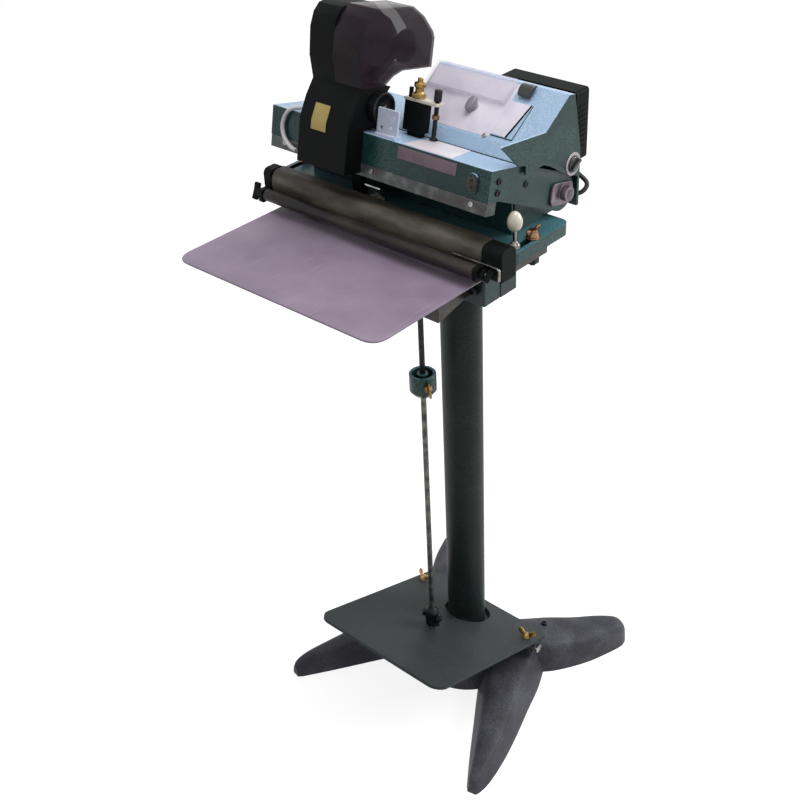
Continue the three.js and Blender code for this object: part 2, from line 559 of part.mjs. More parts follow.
function makeUpperRod() {
  const bare = roundZ(rod.diameter / 2, rod.split_z + rod.split_gap / 2, rod.fork_z + overrun, rod.x,
    rod.y, small_round_steps);
  const collar = roundZ(rod_collar.radius, rod_collar.z, rod_collar.z + rod_collar.height, rod.x,
    rod.y);
  const fork = block(rod.x - rod_fork.width / 2, rod.x + rod_fork.width / 2, rod.y - rod_fork.depth / 2,
    rod.y + rod_fork.depth / 2,
    rod.fork_z, rod.fork_z + rod_fork.height);
  const slot = block(rod.x - rod_fork.slot / 2, rod.x + rod_fork.slot / 2, rod.y - rod_fork.depth,
    rod.y + rod_fork.depth,
    rod.fork_z + rod_fork.slot / 2, rod.fork_z + 2 * rod_fork.height);
  const pin = roundX(rod_fork.pin / 2, rod.x - rod_fork.width / 2, rod.x + rod_fork.width / 2, rod.y,
    crankPin().z, small_round_steps);
  return join(cut(join(bare, collar, fork), slot), pin);
}

// where the crank's pin stands at rest, half the swing above the pivot
function crankPin() {
  const half_swing = (arm.open / 2) * degree;
  return { y: arm.pivot_y - crank.throw * Math.cos(half_swing),
    z: arm.pivot_z + crank.throw * Math.sin(half_swing) };
}
piece('pull_rod_upper', makeUpperRod(), dark_steel);

function makeCoupling() {
  const top = coupling.z + coupling.height;
  const drum = roundZ(coupling.radius, coupling.z, top, rod.x, rod.y);
  const well = roundZ(coupling.radius - coupling.wall, coupling.z + coupling.wall, top + overrun, rod.x,
    rod.y);
  const boss = roundZ(coupling.boss / 2, coupling.z + overrun, top, rod.x, rod.y);
  const bore = roundZ(rod.diameter / 2 + seat, coupling.z - overrun, top + overrun, rod.x, rod.y,
    small_round_steps);
  const screw_way = screwShape(coupling_screw.shank / 2 + seat, coupling_screw.z, 0);
  return cut(join(cut(drum, well), boss), bore, screw_way);
}

// the wing screw's shank, square to the rod, turned towards the front right
function screwShape(radius, z, outward) {
  const shank = roundX(radius, rod.diameter / 2 + 2 * seat,
    coupling.radius + coupling_screw.reach + outward, 0, 0, 12);
  return shank.rotateZ(-coupling_screw.angle * degree).translate(rod.x, rod.y, z);
}
piece('rod_coupling', makeCoupling(), teal);

function makeCouplingScrew() {
  const { z } = coupling_screw;
  const start = coupling.radius + seat;
  const collar = roundX(coupling_screw.head / 2, start, start + coupling_screw.head / 2, 0, 0, 12);
  const wing = roundedRectangle(start + coupling_screw.head / 3, start + coupling_screw.reach,
    -coupling_screw.wing / 2,
    coupling_screw.wing / 2, coupling_screw.wing_thick);
  const blade = alongY(wing, -coupling_screw.wing_thick / 2, coupling_screw.wing_thick / 2);
  const head = join(collar, blade).rotateZ(-coupling_screw.angle * degree).translate(rod.x, rod.y, z);
  return join(screwShape(coupling_screw.shank / 2, z, -coupling_screw.reach / 2), head);
}
piece('coupling_wing_screw', makeCouplingScrew(), brass);

// Guide bracket under the head: an open-bottomed channel that steadies the rod and backs its return
// spring
function makeGuide() {
  const rear_y = -saddle.half_y - seat;
  const wall = guide.wall;
  const outer = outline([[guide.front_y, guide.top_z], [guide.front_y, guide.top_z - guide.front_depth],
    [rear_y, guide.top_z - guide.rear_depth], [rear_y, guide.top_z]]);
  const inner = block(-guide.half_width + wall, guide.half_width - wall, guide.front_y + wall,
    rear_y - wall,
    guide.top_z - 2 * guide.front_depth, guide.top_z - wall);
  const hole = roundZ(guide.rod_hole / 2, guide.top_z - 2 * wall, guide.top_z + overrun, rod.x, rod.y,
    small_round_steps);
  return cut(alongX(outer, -guide.half_width, guide.half_width), inner, hole);
}
piece('guide_bracket', makeGuide(), taupe);

// Return spring: one unbroken wire; its least gap to itself is measured on its points
function makeSpring() {
  const low = guide.top_z + seat + spring.wire / 2;
  const high = rod_collar.z - seat - spring.wire / 2;
  const points = [];
  const count = spring.turns * spring.steps;
  for (let i = 0; i <= count; i += 1) {
    const turn = (i / spring.steps) * 2 * Math.PI;
    points.push(new THREE.Vector3(rod.x + spring.radius * Math.cos(turn),
      rod.y + spring.radius * Math.sin(turn),
      low + (high - low) * (i / count)));
  }
  let least = Infinity;
  for (let i = 0; i < points.length; i += 1) {
    for (let j = i + spring.steps / 2; j < points.length; j += 1) {
      least = Math.min(least, points[i].distanceTo(points[j]) - spring.wire);
    }
  }
  console.log(`return spring: least gap to itself ${least.toFixed(2)} mm`);
  const rings = points.map((p, i) => {
    const turn = (i / spring.steps) * 2 * Math.PI;
    const out = new THREE.Vector3(Math.cos(turn), Math.sin(turn), 0);
    return [...Array(spring.sides).keys()].map((k) => {
      const a = (k / spring.sides) * 2 * Math.PI;
      const r = spring.wire / 2;
      return [p.x + out.x * r * Math.cos(a), p.y + out.y * r * Math.cos(a), p.z + r * Math.sin(a)];
    });
  });
  return loft(rings);
}
piece('return_spring', makeSpring(), steel);

// Saddle: two half blocks clamped round the column's top, with their bolts' heads and nuts cast on
function makeSaddleHalf(sign) {
  const y0 = sign < 0 ? -saddle.half_y : saddle.split;
  const y1 = sign < 0 ? -saddle.split : saddle.half_y;
  const top = plate.z - seat;
  const half = block(-saddle.half_x, saddle.half_x, y0, y1, saddle.foot_z, top);
  const bore = roundZ(column.diameter / 2 + saddle.bore_gap, saddle.foot_z - overrun, top + overrun, 0,
    0, big_round_steps);
  const rear_heads = [];
  if (sign > 0) {
    for (const z of saddle.bolt_rows) {
      for (const x of [-saddle.bolt_x, saddle.bolt_x]) {
        rear_heads.push(roundY(saddle.bolt_across / 2, saddle.half_y - overrun,
          saddle.half_y + saddle.bolt_head, x, z, hexagon));
      }
    }
  }
  return cut(join(half, ...rear_heads), bore);
}
piece('saddle_front', makeSaddleHalf(-1), teal);
piece('saddle_rear', makeSaddleHalf(1), teal);

// Base plate of the head, with slotted wings at both sides
function makeBasePlate() {
  const top = plate.z + plate.thickness;
  const wings = upwards(roundedRectangle(-plate.half_x, plate.half_x, plate.front_y, plate.wing_rear_y,
    plate.corner), plate.z, top);
  const tongue = block(-plate.tongue_half, plate.tongue_half, plate.wing_rear_y - plate.corner,
    plate.rear_y, plate.z, top);
  const hole = roundZ(plate.rod_hole / 2, plate.z - overrun, top + overrun, rod.x, rod.y);
  const slots = [-1, 1].map((s) => upwards(roundedRectangle(s * wing_slot.x - wing_slot.width / 2,
    s * wing_slot.x + wing_slot.width / 2,
    wing_slot.front_y, wing_slot.rear_y, wing_slot.width / 2 - seat), plate.z - overrun,
      top + overrun));
  return cut(join(wings, tongue), hole, ...slots);
}
piece('base_plate', makeBasePlate(), teal);

// Table: a flat sheet on a frame whose pads are clamped under the wings
function makeTableFrame() {
  const low = table.top_z - table.thickness - seat - table_arm.thickness;
  const arm_top = low + table_arm.thickness;
  const pad_top = plate.z - seat;
  const front = table.front_y + table_arm.front_inset;
  const rails = [-1, 1].flatMap((s) => {
    const [x0, x1] = s < 0 ? [-table_arm.outer_x, -table_arm.inner_x] : [table_arm.inner_x,
      table_arm.outer_x];
    const [p0, p1] = s < 0 ? [-table_arm.pad_x, -table_arm.inner_x] : [table_arm.inner_x,
      table_arm.pad_x];
    const web_rear = table_arm.web_y + table_arm.thickness;
    return [block(x0, x1, front, web_rear, low, arm_top), block(x0, x1, table_arm.web_y, web_rear, low,
      pad_top),
      block(p0, p1, table_arm.web_y, table_arm.pad_rear_y, pad_top - table_arm.thickness, pad_top)];
  });
  const cross = block(-table_arm.outer_x, table_arm.outer_x, table_arm.cross_y,
    table_arm.cross_y + table_arm.outer_x - table_arm.inner_x, low, arm_top);
  const holes = [-1, 1].map((s) => roundZ(wing_bolt.stud / 2 + seat, pad_top - 2 * table_arm.thickness,
    pad_top + overrun,
    s * wing_slot.x, wing_bolt.y, small_round_steps));
  return cut(join(cross, ...rails), ...holes);
}
piece('table_frame', makeTableFrame(), taupe);
piece('work_table', upwards(roundedRectangle(-table.half_x, table.half_x, table.front_y, table.rear_y,
  table.corner),
  table.top_z - table.thickness, table.top_z), lavender);

function wingBolt(sign) {
  const x = sign * wing_slot.x;
  const top = plate.z + plate.thickness;
  const pad_low = plate.z - seat - table_arm.thickness;
  const washer = roundZ(wing_bolt.base_radius, top + seat, top + seat + wing_bolt.base, x, wing_bolt.y);
  const stud = roundZ(wing_bolt.stud / 2, pad_low - wing_bolt.foot, top + wing_bolt.base, x,
    wing_bolt.y, small_round_steps);
  const foot = roundZ(wing_bolt.foot_across / 2, pad_low - wing_bolt.foot, pad_low - seat, x,
    wing_bolt.y, 12);
  const { top_z, tip_low_z, crook_z } = flat_wing;
  const [tip, bend] = [wing_nut.wing_span / 2, wing_nut.wing_span / 3];
  const wing = outline([[0, 0], [tip, tip_low_z], [tip, top_z], [bend, top_z], [0, crook_z],
    [-bend, top_z], [-tip, top_z],
    [-tip, tip_low_z]]);
  const wings = alongX(wing, -wing_nut.wing_thick / 2, wing_nut.wing_thick / 2)
    .translate(x, wing_bolt.y, top + wing_bolt.base);
  return join(washer, stud, foot, wings);
}
piece('table_wing_bolt_left', wingBolt(-1), brass);
piece('table_wing_bolt_right', wingBolt(1), brass);

// Lower jaw: a rounded bar with a silicone strip in its top, covered by release cloth from a roller
function jawSection(grow) {
  const front = jaw.front_y - grow;
  const top = jaw.top_z + grow;
  const radius = jaw.round + grow;
  const shape = new THREE.Shape();
  shape.moveTo(jaw.rear_y, jaw.foot_z);
  shape.lineTo(jaw.rear_y, top - jaw.bevel);
  shape.lineTo(jaw.rear_y - jaw.bevel, top);
  shape.lineTo(front + radius, top);
  shape.absarc(front + radius, top - radius, radius, Math.PI / 2, Math.PI);
  shape.lineTo(front, jaw.foot_z);
  return shape;
}

const strip_y = jaw.rear_y - strip.inset - strip.width / 2;
function makeJawBar() {
  const body = alongX(jawSection(0), -jaw.half_x, jaw.half_x);
  const groove = block(-jaw.half_x - overrun, jaw.half_x + overrun, strip_y - jaw.groove / 2,
    strip_y + jaw.groove / 2,
    jaw.top_z - jaw.groove_depth, jaw.top_z + overrun);
  return cut(body, groove);
}
piece('jaw_bar', makeJawBar(), aluminium);
const strip_z = jaw.top_z - jaw.groove_depth + seat;
piece('silicone_strip', block(-jaw.half_x, jaw.half_x, strip_y - strip.width / 2,
  strip_y + strip.width / 2, strip_z, strip_z + strip.height), silicone);

function makeCloth() {
  const lift = strip_z + strip.height + seat - jaw.top_z;
  const outer = jawSection(lift + cloth.thickness);
  const body = alongX(outer, -jaw.half_x, jaw.half_x);
  const inner = alongX(jawSection(lift), -jaw.half_x - overrun, jaw.half_x + overrun);
  const below = block(-jaw.half_x - overrun, jaw.half_x + overrun, 2 * jaw.front_y, 0,
    jaw.foot_z - overrun, cloth.foot_z);
  const behind = block(-jaw.half_x - overrun, jaw.half_x + overrun, jaw.rear_y - jaw.bevel, 0,
    jaw.foot_z - overrun, 2 * jaw.top_z);
  return cut(body, inner, below, behind);
}
piece('ptfe_cloth', makeCloth(), cloth_brown);

// an end cap: a domed block behind, and a cheek in front of it that holds the roller's shaft
function makeJawCap(length) {
  const x0 = jaw.half_x + jaw_cap.gap;
  const top = jaw.top_z + jaw_cap.top + cloth.thickness;
  const foot = top - jaw_cap.drop;
  const cheek_rear = jaw_cap.block_front_y + jaw_cap.round;
  const cheek_shape = roundedRectangle(jaw_cap.front_y, cheek_rear, foot + overrun,
    roller.z + jaw_cap.eye, jaw_cap.corner);
  const dome = new THREE.Shape();
  dome.moveTo(jaw_cap.block_front_y, foot);
  dome.lineTo(jaw.rear_y, foot);
  dome.lineTo(jaw.rear_y, top - jaw_cap.round);
  dome.absarc(jaw.rear_y - jaw_cap.round, top - jaw_cap.round, jaw_cap.round, 0, Math.PI / 2);
  dome.absarc(jaw_cap.block_front_y + jaw_cap.round, top - jaw_cap.round, jaw_cap.round, Math.PI / 2,
    Math.PI);
  const hole = roundX(roller.shaft + seat, x0 - overrun, x0 + jaw_cap.cheek + overrun, roller.y,
    roller.z, small_round_steps);
  return cut(join(alongX(cheek_shape, x0, x0 + jaw_cap.cheek), alongX(dome, x0, x0 + length)), hole);
}
piece('jaw_cap_left', mirrored(makeJawCap(jaw_cap.left_length)), black_plastic);
piece('jaw_cap_right', makeJawCap(jaw_cap.right_length), black_plastic);

piece('cloth_roller', join(
  roundX(roller.radius, -jaw.half_x + seat, jaw.half_x - seat, roller.y, roller.z),
  roundX(roller.shaft, -jaw.half_x - roller.end / 2, jaw.half_x + roller.end / 2, roller.y, roller.z,
    small_round_steps),
), cloth_brown);

function makeRollerKnob(length, wing_half, turn) {
  const x0 = jaw.half_x + jaw_cap.gap + jaw_cap.cheek + knob.gap;
  const hub_part = roundX(knob.hub_radius, x0, x0 + length + overrun, 0, 0);
  const wing = roundedRectangle(-wing_half, wing_half, -knob.wing_thick / 2, knob.wing_thick / 2,
    knob.wing_thick / 3);
  const wings = alongX(wing, x0 + length, x0 + length + knob.wing_depth);
  const hole = roundX(roller.shaft + seat / 2, x0 - overrun, jaw.half_x + roller.end / 2 + seat, 0, 0,
    small_round_steps);
  return cut(join(hub_part, wings), hole).rotateX(turn * degree).translate(0, roller.y, roller.z);
}
piece('roller_knob_left', mirrored(makeRollerKnob(knob.left_length, knob.left_half, knob.left_turn)),
  black_plastic);
piece('roller_knob_right', makeRollerKnob(knob.right_length, knob.right_half, knob.right_turn),
  black_plastic);

// Housing of the head: fixed side plates, a bent cover at the left, and the hood at the right
function makeSidePlate(right) {
  const low = plate.z + plate.thickness + seat;
  const under = cover.wall + seat;
  const top_left = [[side.front_y, cover.top_z - under], [side.rear_y, cover.top_z - under]];
  const slope = (hood.ridge_z - hood.low_z) / (hood.ridge_y - hood.low_y);
  const drop = hood.wall * Math.hypot(1, slope) + seat;
  const apron_back = hood.apron_y + hood.wall + seat;
  const top_right = [[side.front_y, cover.nose_z - seat], [apron_back, cover.nose_z - seat],
    [apron_back, hood.apron_z - 2 * drop],
    [hood.low_y, hood.low_z - drop - 3 * seat], [hood.ridge_y, hood.ridge_z - drop - seat],
    [hood.back_y - 2 * hood.wall, hood.back_z - 2 * drop], [side.rear_y,
      (hood.back_z + low) / 2 + hood.wall]];
  const points = [[side.front_y, low], ...(right ? top_right : top_left), [side.rear_y, low]];
  const hole = roundX(arm.shaft / 2 + seat, -side.thickness, 2 * side.thickness, arm.pivot_y,
    arm.pivot_z);
  return cut(alongX(outline(points), 0, side.thickness), hole);
}
piece('housing_side_left', makeSidePlate(false).translate(-side.outer_x, 0, 0), teal);
piece('housing_side_right', makeSidePlate(true).translate(side.outer_x - side.thickness, 0, 0), teal);

function makeHousingCover() {
  const low = plate.z + plate.thickness + seat;
  const inner_half = side.outer_x;
  const front_wall = block(-inner_half, inner_half, cover.front_y, cover.front_y + cover.wall, low,
    cover.nose_z);
  const lid_right = hood.left_x - seat;
  const lid = block(-inner_half, lid_right, cover.front_y, side.rear_y + seat + cover.wall,
    cover.top_z - cover.wall, cover.top_z);
  const back = block(-inner_half, lid_right, side.rear_y + seat, side.rear_y + seat + cover.wall, low,
    cover.top_z);
  return join(front_wall, lid, back);
}
piece('housing_cover', makeHousingCover(), teal);

// places on the inclined panel: share 0 at its lower edge and 1 at the ridge, lift square to the panel
const panel_run = [hood.ridge_y - hood.low_y, hood.ridge_z - hood.low_z];
const panel_length = Math.hypot(...panel_run);
const panel_tilt = Math.atan2(panel_run[1], panel_run[0]);
function onPanel(share, lift) {
  return [hood.low_y + panel_run[0] * share - lift * Math.sin(panel_tilt),
    hood.low_z + panel_run[1] * share + lift * Math.cos(panel_tilt)];
}

// Hood: a bent sheet from the apron up the inclined panel and over the ridge, closed at both ends
function makeHood() {
  const low = plate.z + plate.thickness + seat;
  const x0 = hood.left_x;
  const x1 = hood.right_x;
  const skin_right = x1 - hood.wall;
  const shape = outline([[hood.apron_y, cover.nose_z + seat], [hood.apron_y, hood.apron_z],
    [hood.low_y, hood.low_z],
    [hood.ridge_y, hood.ridge_z], [hood.back_y, hood.back_z], [hood.rear_y, (hood.back_z + low) / 2],
      [hood.rear_y, low],
    [side.rear_y + seat, low], [side.rear_y + seat, cover.nose_z + seat]]);
  const body = alongX(shape, x0, x1);
  const drop = hood.wall * hood.skew;
  const hollow_shape = outline([[hood.apron_y + hood.wall, cover.nose_z - hood.wall],
    [hood.apron_y + hood.wall, hood.apron_z - drop / 2],
    [hood.low_y + drop / 4, hood.low_z - drop], [hood.ridge_y, hood.ridge_z - drop],
      [hood.back_y - drop, hood.back_z - drop],
    [side.rear_y + seat, (hood.back_z + low) / 2 + 2 * drop], [side.rear_y + seat, low - overrun],
      [side.rear_y - hood.wall, low - overrun]]);
  const hollow = alongX(hollow_shape, x0 + hood.wall, skin_right);
  // the arm's right side plate swings up through a notch in the apron
  const notch = block(side.outer_x + overrun, skin_right, hood.apron_y - overrun,
    hood.apron_y + 2 * hood.wall,
    cover.nose_z, hood.apron_z + hood.wall);
  const rail = outline([onPanel(panel_rail.low_share, -overrun),
    onPanel(panel_rail.low_share, panel_rail.height),
    onPanel(panel_rail.top_share, panel_rail.height), onPanel(panel_rail.top_share, -overrun)]);
  return join(cut(body, hollow, notch), makeCheek(), alongX(rail, panel_rail.left_x,
    panel_rail.right_x));
}

// Cheek: the hood's right side wall, with a nose over the arm and a curved lower edge above the pivot
function makeCheek() {
  const slope = (hood.ridge_z - hood.low_z) / (hood.ridge_y - hood.low_y);
  const shelf_z = hood.low_z + slope * (cheek.shelf_y - hood.low_y);
  const shape = new THREE.Shape();
  shape.moveTo(cheek.nose_y, cheek.nose_z - 2 * seat);
  shape.lineTo(cheek.crook_y, cheek.crook_z);
  shape.quadraticCurveTo(cheek.bend_y, cheek.bend_z, cheek.heel_y, cheek.heel_z);
  shape.lineTo(hood.rear_y, cheek.end_z);
  shape.lineTo(hood.rear_y, (hood.back_z + plate.z + plate.thickness + seat) / 2);
  shape.lineTo(hood.back_y, hood.back_z);
  shape.lineTo(hood.ridge_y, hood.ridge_z);
  shape.lineTo(cheek.shelf_y, shelf_z);
  shape.lineTo(cheek.nose_y + hood.wall, cheek.nose_z);
  return alongX(shape, hood.right_x - hood.wall, hood.right_x);
}
piece('hood', makeHood(), teal);

// Clear cover over part of the panel, hinged at the ridge
function makeClearCover() {
  const { low_share, top_share, rise, wall } = see_through;
  const step = wall / panel_length;
  const shape = outline([onPanel(low_share, seat), onPanel(low_share, rise), onPanel(top_share, rise),
    onPanel(top_share, seat),
    onPanel(top_share - step, seat), onPanel(top_share - step, rise - wall),
      onPanel(low_share + step, rise - wall),
    onPanel(low_share + step, seat)]);
  const cheeks = outline([onPanel(low_share, seat), onPanel(low_share, rise), onPanel(top_share, rise),
    onPanel(top_share, seat)]);
  return join(alongX(shape, see_through.left_x, see_through.right_x),
    alongX(cheeks, see_through.left_x, see_through.left_x + wall),
      alongX(cheeks, see_through.right_x - wall, see_through.right_x));
}
piece('clear_cover', makeClearCover(), clear);

const knob_place = onPanel(panel_knob.share, seat);
piece('panel_knob', turned([[0, 0], [panel_knob.base_radius, 0],
  [panel_knob.base_radius, panel_knob.base],
  [panel_knob.radius, panel_knob.base], [panel_knob.top_radius, panel_knob.height],
    [0, panel_knob.height]], 0, 0, 0)
  .rotateX(panel_tilt).translate(panel_knob.x, knob_place[0], knob_place[1]), black_plastic);

function makeRocker() {
  const shape = new THREE.Shape();
  const reach = Math.acos(rocker.flat / rocker.radius);
  shape.absarc(0, 0, rocker.radius, Math.PI / 2 - reach, Math.PI / 2 + reach);
  const body = alongX(shape, rocker.x - rocker.half_x, rocker.x + rocker.half_x);
  const stem = block(rocker.x - rocker.half_x / 2, rocker.x + rocker.half_x / 2, -rocker.stem,
    rocker.stem, seat, rocker.flat + overrun);
  const [y, z] = onPanel(rocker.share, seat);
  return join(body, stem).rotateX(panel_tilt).translate(0, y, z);
}
piece('power_rocker', makeRocker(), black_plastic);

// Timer dial on the hood's right cheek: a turned disc with a pointer rib
function makeTimer() {
  const x0 = hood.right_x + seat;
  const disc = roundX(timer.radius, x0, x0 + timer.length / 2, 0, 0);
  const grip = block(x0, x0 + timer.length, -timer.grip_half, timer.grip_half, -timer.pointer / 2,
    timer.pointer / 2);
  return join(disc, grip).rotateX(timer.turn * degree).translate(0, timer.y, timer.z);
}
piece('timer_dial', makeTimer(), black_plastic);

// Control box behind the hood, open towards it
function makeControlBox() {
  const y0 = hood.rear_y + seat;
  const y1 = y0 + box.depth;
  const outer = alongY(roundedRectangle(box.left_x, box.right_x, box.foot_z, box.top_z, box.corner), y0,
    y1);
  const inner = block(box.left_x + box.wall, box.right_x - box.wall, y0 - overrun, y1 - box.wall,
    box.foot_z + box.wall, box.top_z - box.wall);
  return cut(outer, inner);
}
piece('control_box', makeControlBox(), black_plastic);

const lead_y = hood.rear_y + seat + box.depth / 2;
// rows: distance out from the box's right end, then Y and Z
const lead_places = [[-23, lead_y, box.foot_z - 2 * seat], [-23, lead_y, 924], [-7, lead_y + 8, 910],
  [7, lead_y + 6, 902],
  [5, lead_y - 2, 893], [-7, lead_y - 6, 890], [-19, hood.rear_y + 3 * lead.radius, 892],
    [-19, hood.rear_y + 2 * seat, 892]];
piece('rear_cable', tubeAlong(lead_places.map(([out, y, z]) => [box.right_x + out, y, z]), lead.radius,
  lead.sides, 28), black_plastic);

function makeTransformer() {
  const low = plate.z + plate.thickness + seat;
  const half = transformer.width / 2;
  const core_half = transformer.core / 2;
  const stack = block(transformer.x - half, transformer.x + half, transformer.y - core_half,
    transformer.y + core_half, low, low + transformer.height);
  const winding = roundedRectangle(transformer.x - half / 2, transformer.x + half / 2,
    transformer.y - transformer.depth / 2,
    transformer.y + transformer.depth / 2, core_half / 2);
  return join(stack, upwards(winding, low + core_half, low + transformer.height - core_half));
}
piece('transformer', makeTransformer(), dark_steel);

// Arm: two side plates on a common shaft, a bent beam between them and the sealing bar below it
function tangentFrom(y, z, radius, below) {
  const [dy, dz] = [arm.pivot_y - y, arm.pivot_z - z];
  const far = Math.hypot(dy, dz);
  const heading = Math.atan2(dz, dy) + (below ? -1 : 1) * Math.asin(radius / far);
  const reach = Math.sqrt(far * far - radius * radius);
  return [y + reach * Math.cos(heading), z + reach * Math.sin(heading)];
}

function makeArmSide() {
  const x0 = arm.half_x - arm.plate;
  const shape = outline([[arm.front_y, arm.web_z], [arm.step_y, arm.web_z],
    tangentFrom(arm.step_y, arm.web_z, arm.boss_radius, true),
    [arm.pivot_y, arm.pivot_z], tangentFrom(arm.rear_y, arm.top_z, arm.boss_radius, false),
      [arm.rear_y, arm.top_z],
    [arm.front_y, arm.top_z]]);
  const boss = roundX(arm.boss_radius, x0, arm.half_x, arm.pivot_y, arm.pivot_z, big_round_steps);
  const hole = roundX(arm.shaft / 2 + seat, x0 - overrun, arm.half_x + overrun, arm.pivot_y,
    arm.pivot_z);
  return cut(join(alongX(shape, x0, arm.half_x), boss), hole);
}
const right_arm_side = makeArmSide();
piece('arm_side_left', mirrored(right_arm_side), teal, arm_frame);
piece('arm_side_right', right_arm_side, teal, arm_frame);

function makeArmBeam() {
  const half = arm.half_x - arm.plate - seat;
  const top_sheet = block(-half, half, arm.front_y, arm.rear_y, arm.top_z - arm.skin, arm.top_z);
  const web = block(-half, half, arm.front_y, arm.front_y + arm.plate, arm.web_z, arm.top_z);
  const lozenge = roundedRectangle(escutcheon.x - escutcheon.half_x, escutcheon.x + escutcheon.half_x,
    escutcheon.z - escutcheon.half_z, escutcheon.z + escutcheon.half_z, escutcheon.half_x - seat);
  const plate_part = alongY(lozenge, arm.front_y - escutcheon.depth, arm.front_y + overrun);
  const screw_hole = roundZ(adjuster.radius + seat, arm.top_z - 2 * arm.skin, arm.top_z + overrun,
    adjuster.x, adjuster.y, small_round_steps);
  return cut(join(top_sheet, web, plate_part), screw_hole);
}
piece('arm_beam', makeArmBeam(), teal, arm_frame);

function makeHeaterBar() {
  const top = arm.web_z - seat;
  const body = block(-bar.half_x, bar.half_x, arm.front_y, arm.front_y + bar.depth, bar.foot_z, top);
  const ribbon = block(-bar.half_x + bar.depth, bar.half_x - bar.depth, strip_y - bar.ribbon_width / 2,
    strip_y + bar.ribbon_width / 2,
    bar.foot_z - bar.ribbon, bar.foot_z + overrun);
  return join(body, ribbon);
}
piece('heater_bar', makeHeaterBar(), aluminium, arm_frame);

function makePivotShaft() {
  const end = arm.half_x + seat;
  const shape = roundedRectangle(pivot_cap.front_y, pivot_cap.rear_y, pivot_cap.low_z, pivot_cap.top_z,
    arm.plate);
  const shaft = roundX(arm.shaft / 2, -end - pivot_cap.plate, end + pivot_cap.plate, arm.pivot_y,
    arm.pivot_z);
  const plates = alongX(shape, end, end + pivot_cap.plate);
  const cap = roundX(pivot_cap.radius, end + overrun, end + pivot_cap.plate + pivot_cap.length,
    arm.pivot_y, arm.pivot_z);
  return join(shaft, plates, mirrored(plates), cap, mirrored(cap));
}
piece('pivot_shaft', makePivotShaft(), dark_steel, arm_frame);

// Crank lever on the shaft; its eye takes the fork's pin with slack for the arc
function makeCrank() {
  const half = crank.thickness / 2;
  const rest_pin = crankPin();
  const y = rest_pin.y;
  const z = 2 * arm.pivot_z - rest_pin.z;
  const boss = roundX(crank.boss_radius, -half, half, arm.pivot_y, arm.pivot_z);
  const eye = roundX(crank.eye_radius, -half, half, y, z);
  const web = alongX(outline([[y, z - crank.eye_radius], [arm.pivot_y, arm.pivot_z - crank.boss_radius],
    [arm.pivot_y, arm.pivot_z + crank.boss_radius], [y, z + crank.eye_radius]]), -half, half);
  const bore = roundX(arm.shaft / 2 + seat, -half - overrun, half + overrun, arm.pivot_y, arm.pivot_z);
  const pin_hole = roundX(rod_fork.pin / 2 + crank.slack, -half - overrun, half + overrun, y, z);
  return cut(join(boss, eye, web), bore, pin_hole);
}
piece('crank_lever', makeCrank(), dark_steel, arm_frame);

// Coder on the arm's front: a full-width foot below and an open pocket for the ribbon reels above
function makeCoder() {
  const body = alongX(outline(coder_profile), coder.left_x, coder.right_x);
  const far_y = 2 * guard_profile[0][0];
  const pocket = block(coder.mid_x, coder.right_x + overrun, far_y, 0, coder.pocket_z,
    2 * coder.pocket_z);
  const pegs = [big_reel, small_reel].map((r) => roundX(reel.bore - seat, coder.mid_x - overrun,
    reel.start_x + reel.width + overrun, r.y, r.z, small_round_steps));
  return join(cut(body, pocket), ...pegs);
}
piece('coder_body', makeCoder(), coder_black, arm_frame);

// a closed outline drawn in by a wall, by scaling it about its middle
function shrunk(points, wall) {
  const us = points.map((p) => p[0]);
  const vs = points.map((p) => p[1]);
  const middle = [(Math.min(...us) + Math.max(...us)) / 2, (Math.min(...vs) + Math.max(...vs)) / 2];
  const half = [(Math.max(...us) - Math.min(...us)) / 2, (Math.max(...vs) - Math.min(...vs)) / 2];
  return points.map(([u, v]) => [middle[0] + ((u - middle[0]) * (half[0] - wall)) / half[0],
    middle[1] + ((v - middle[1]) * (half[1] - wall)) / half[1]]);
}

function makeGuard() {
  const x0 = coder.mid_x + seat;
  const full = alongX(outline(guard_profile), x0, guard.right_x);
  const inner = alongX(outline(shrunk(guard_profile, guard.thick)), x0 - overrun,
    guard.right_x - guard.thick);
  const below = block(x0 - overrun, guard.right_x + overrun, 2 * guard_profile[0][0], 0, 0,
    guard.foot_z);
  return cut(full, inner, below);
}
piece('coder_guard', makeGuard(), smoky, arm_frame);

function makeReel(r) {
  const w = reel.width;
  const profile = [[reel.bore, 0], [r.radius, 0], [r.radius, reel.flange], [r.core, reel.flange],
    [r.core, w - reel.flange],
    [r.radius, w - reel.flange], [r.radius, w], [reel.bore, w], [reel.bore, 0]];
  const points = profile.map(([radius, h]) => new THREE.Vector2(radius, h));
  return new THREE.LatheGeometry(points, round_steps).rotateZ(-Math.PI / 2).translate(reel.start_x, r.y,
    r.z);
}
piece('supply_reel', makeReel(big_reel), black_plastic, arm_frame);
piece('take_up_reel', makeReel(small_reel), black_plastic, arm_frame);

function makeWheel() {
  const points = [];
  for (let i = 0; i < wheel.teeth; i += 1) {
    for (const [share, dip] of [[0, 0], [0.5, 0], [0.6, wheel.tooth], [0.9, wheel.tooth]]) {
      const a = ((i + share) / wheel.teeth) * 2 * Math.PI;
      points.push([(wheel.radius - dip) * Math.cos(a), (wheel.radius - dip) * Math.sin(a)]);
    }
  }
  const x0 = coder.right_x + seat;
  return alongX(outline(points), x0, x0 + wheel.width).translate(0, wheel.y, wheel.z);
}
piece('knurled_wheel', makeWheel(), dark_steel, arm_frame);

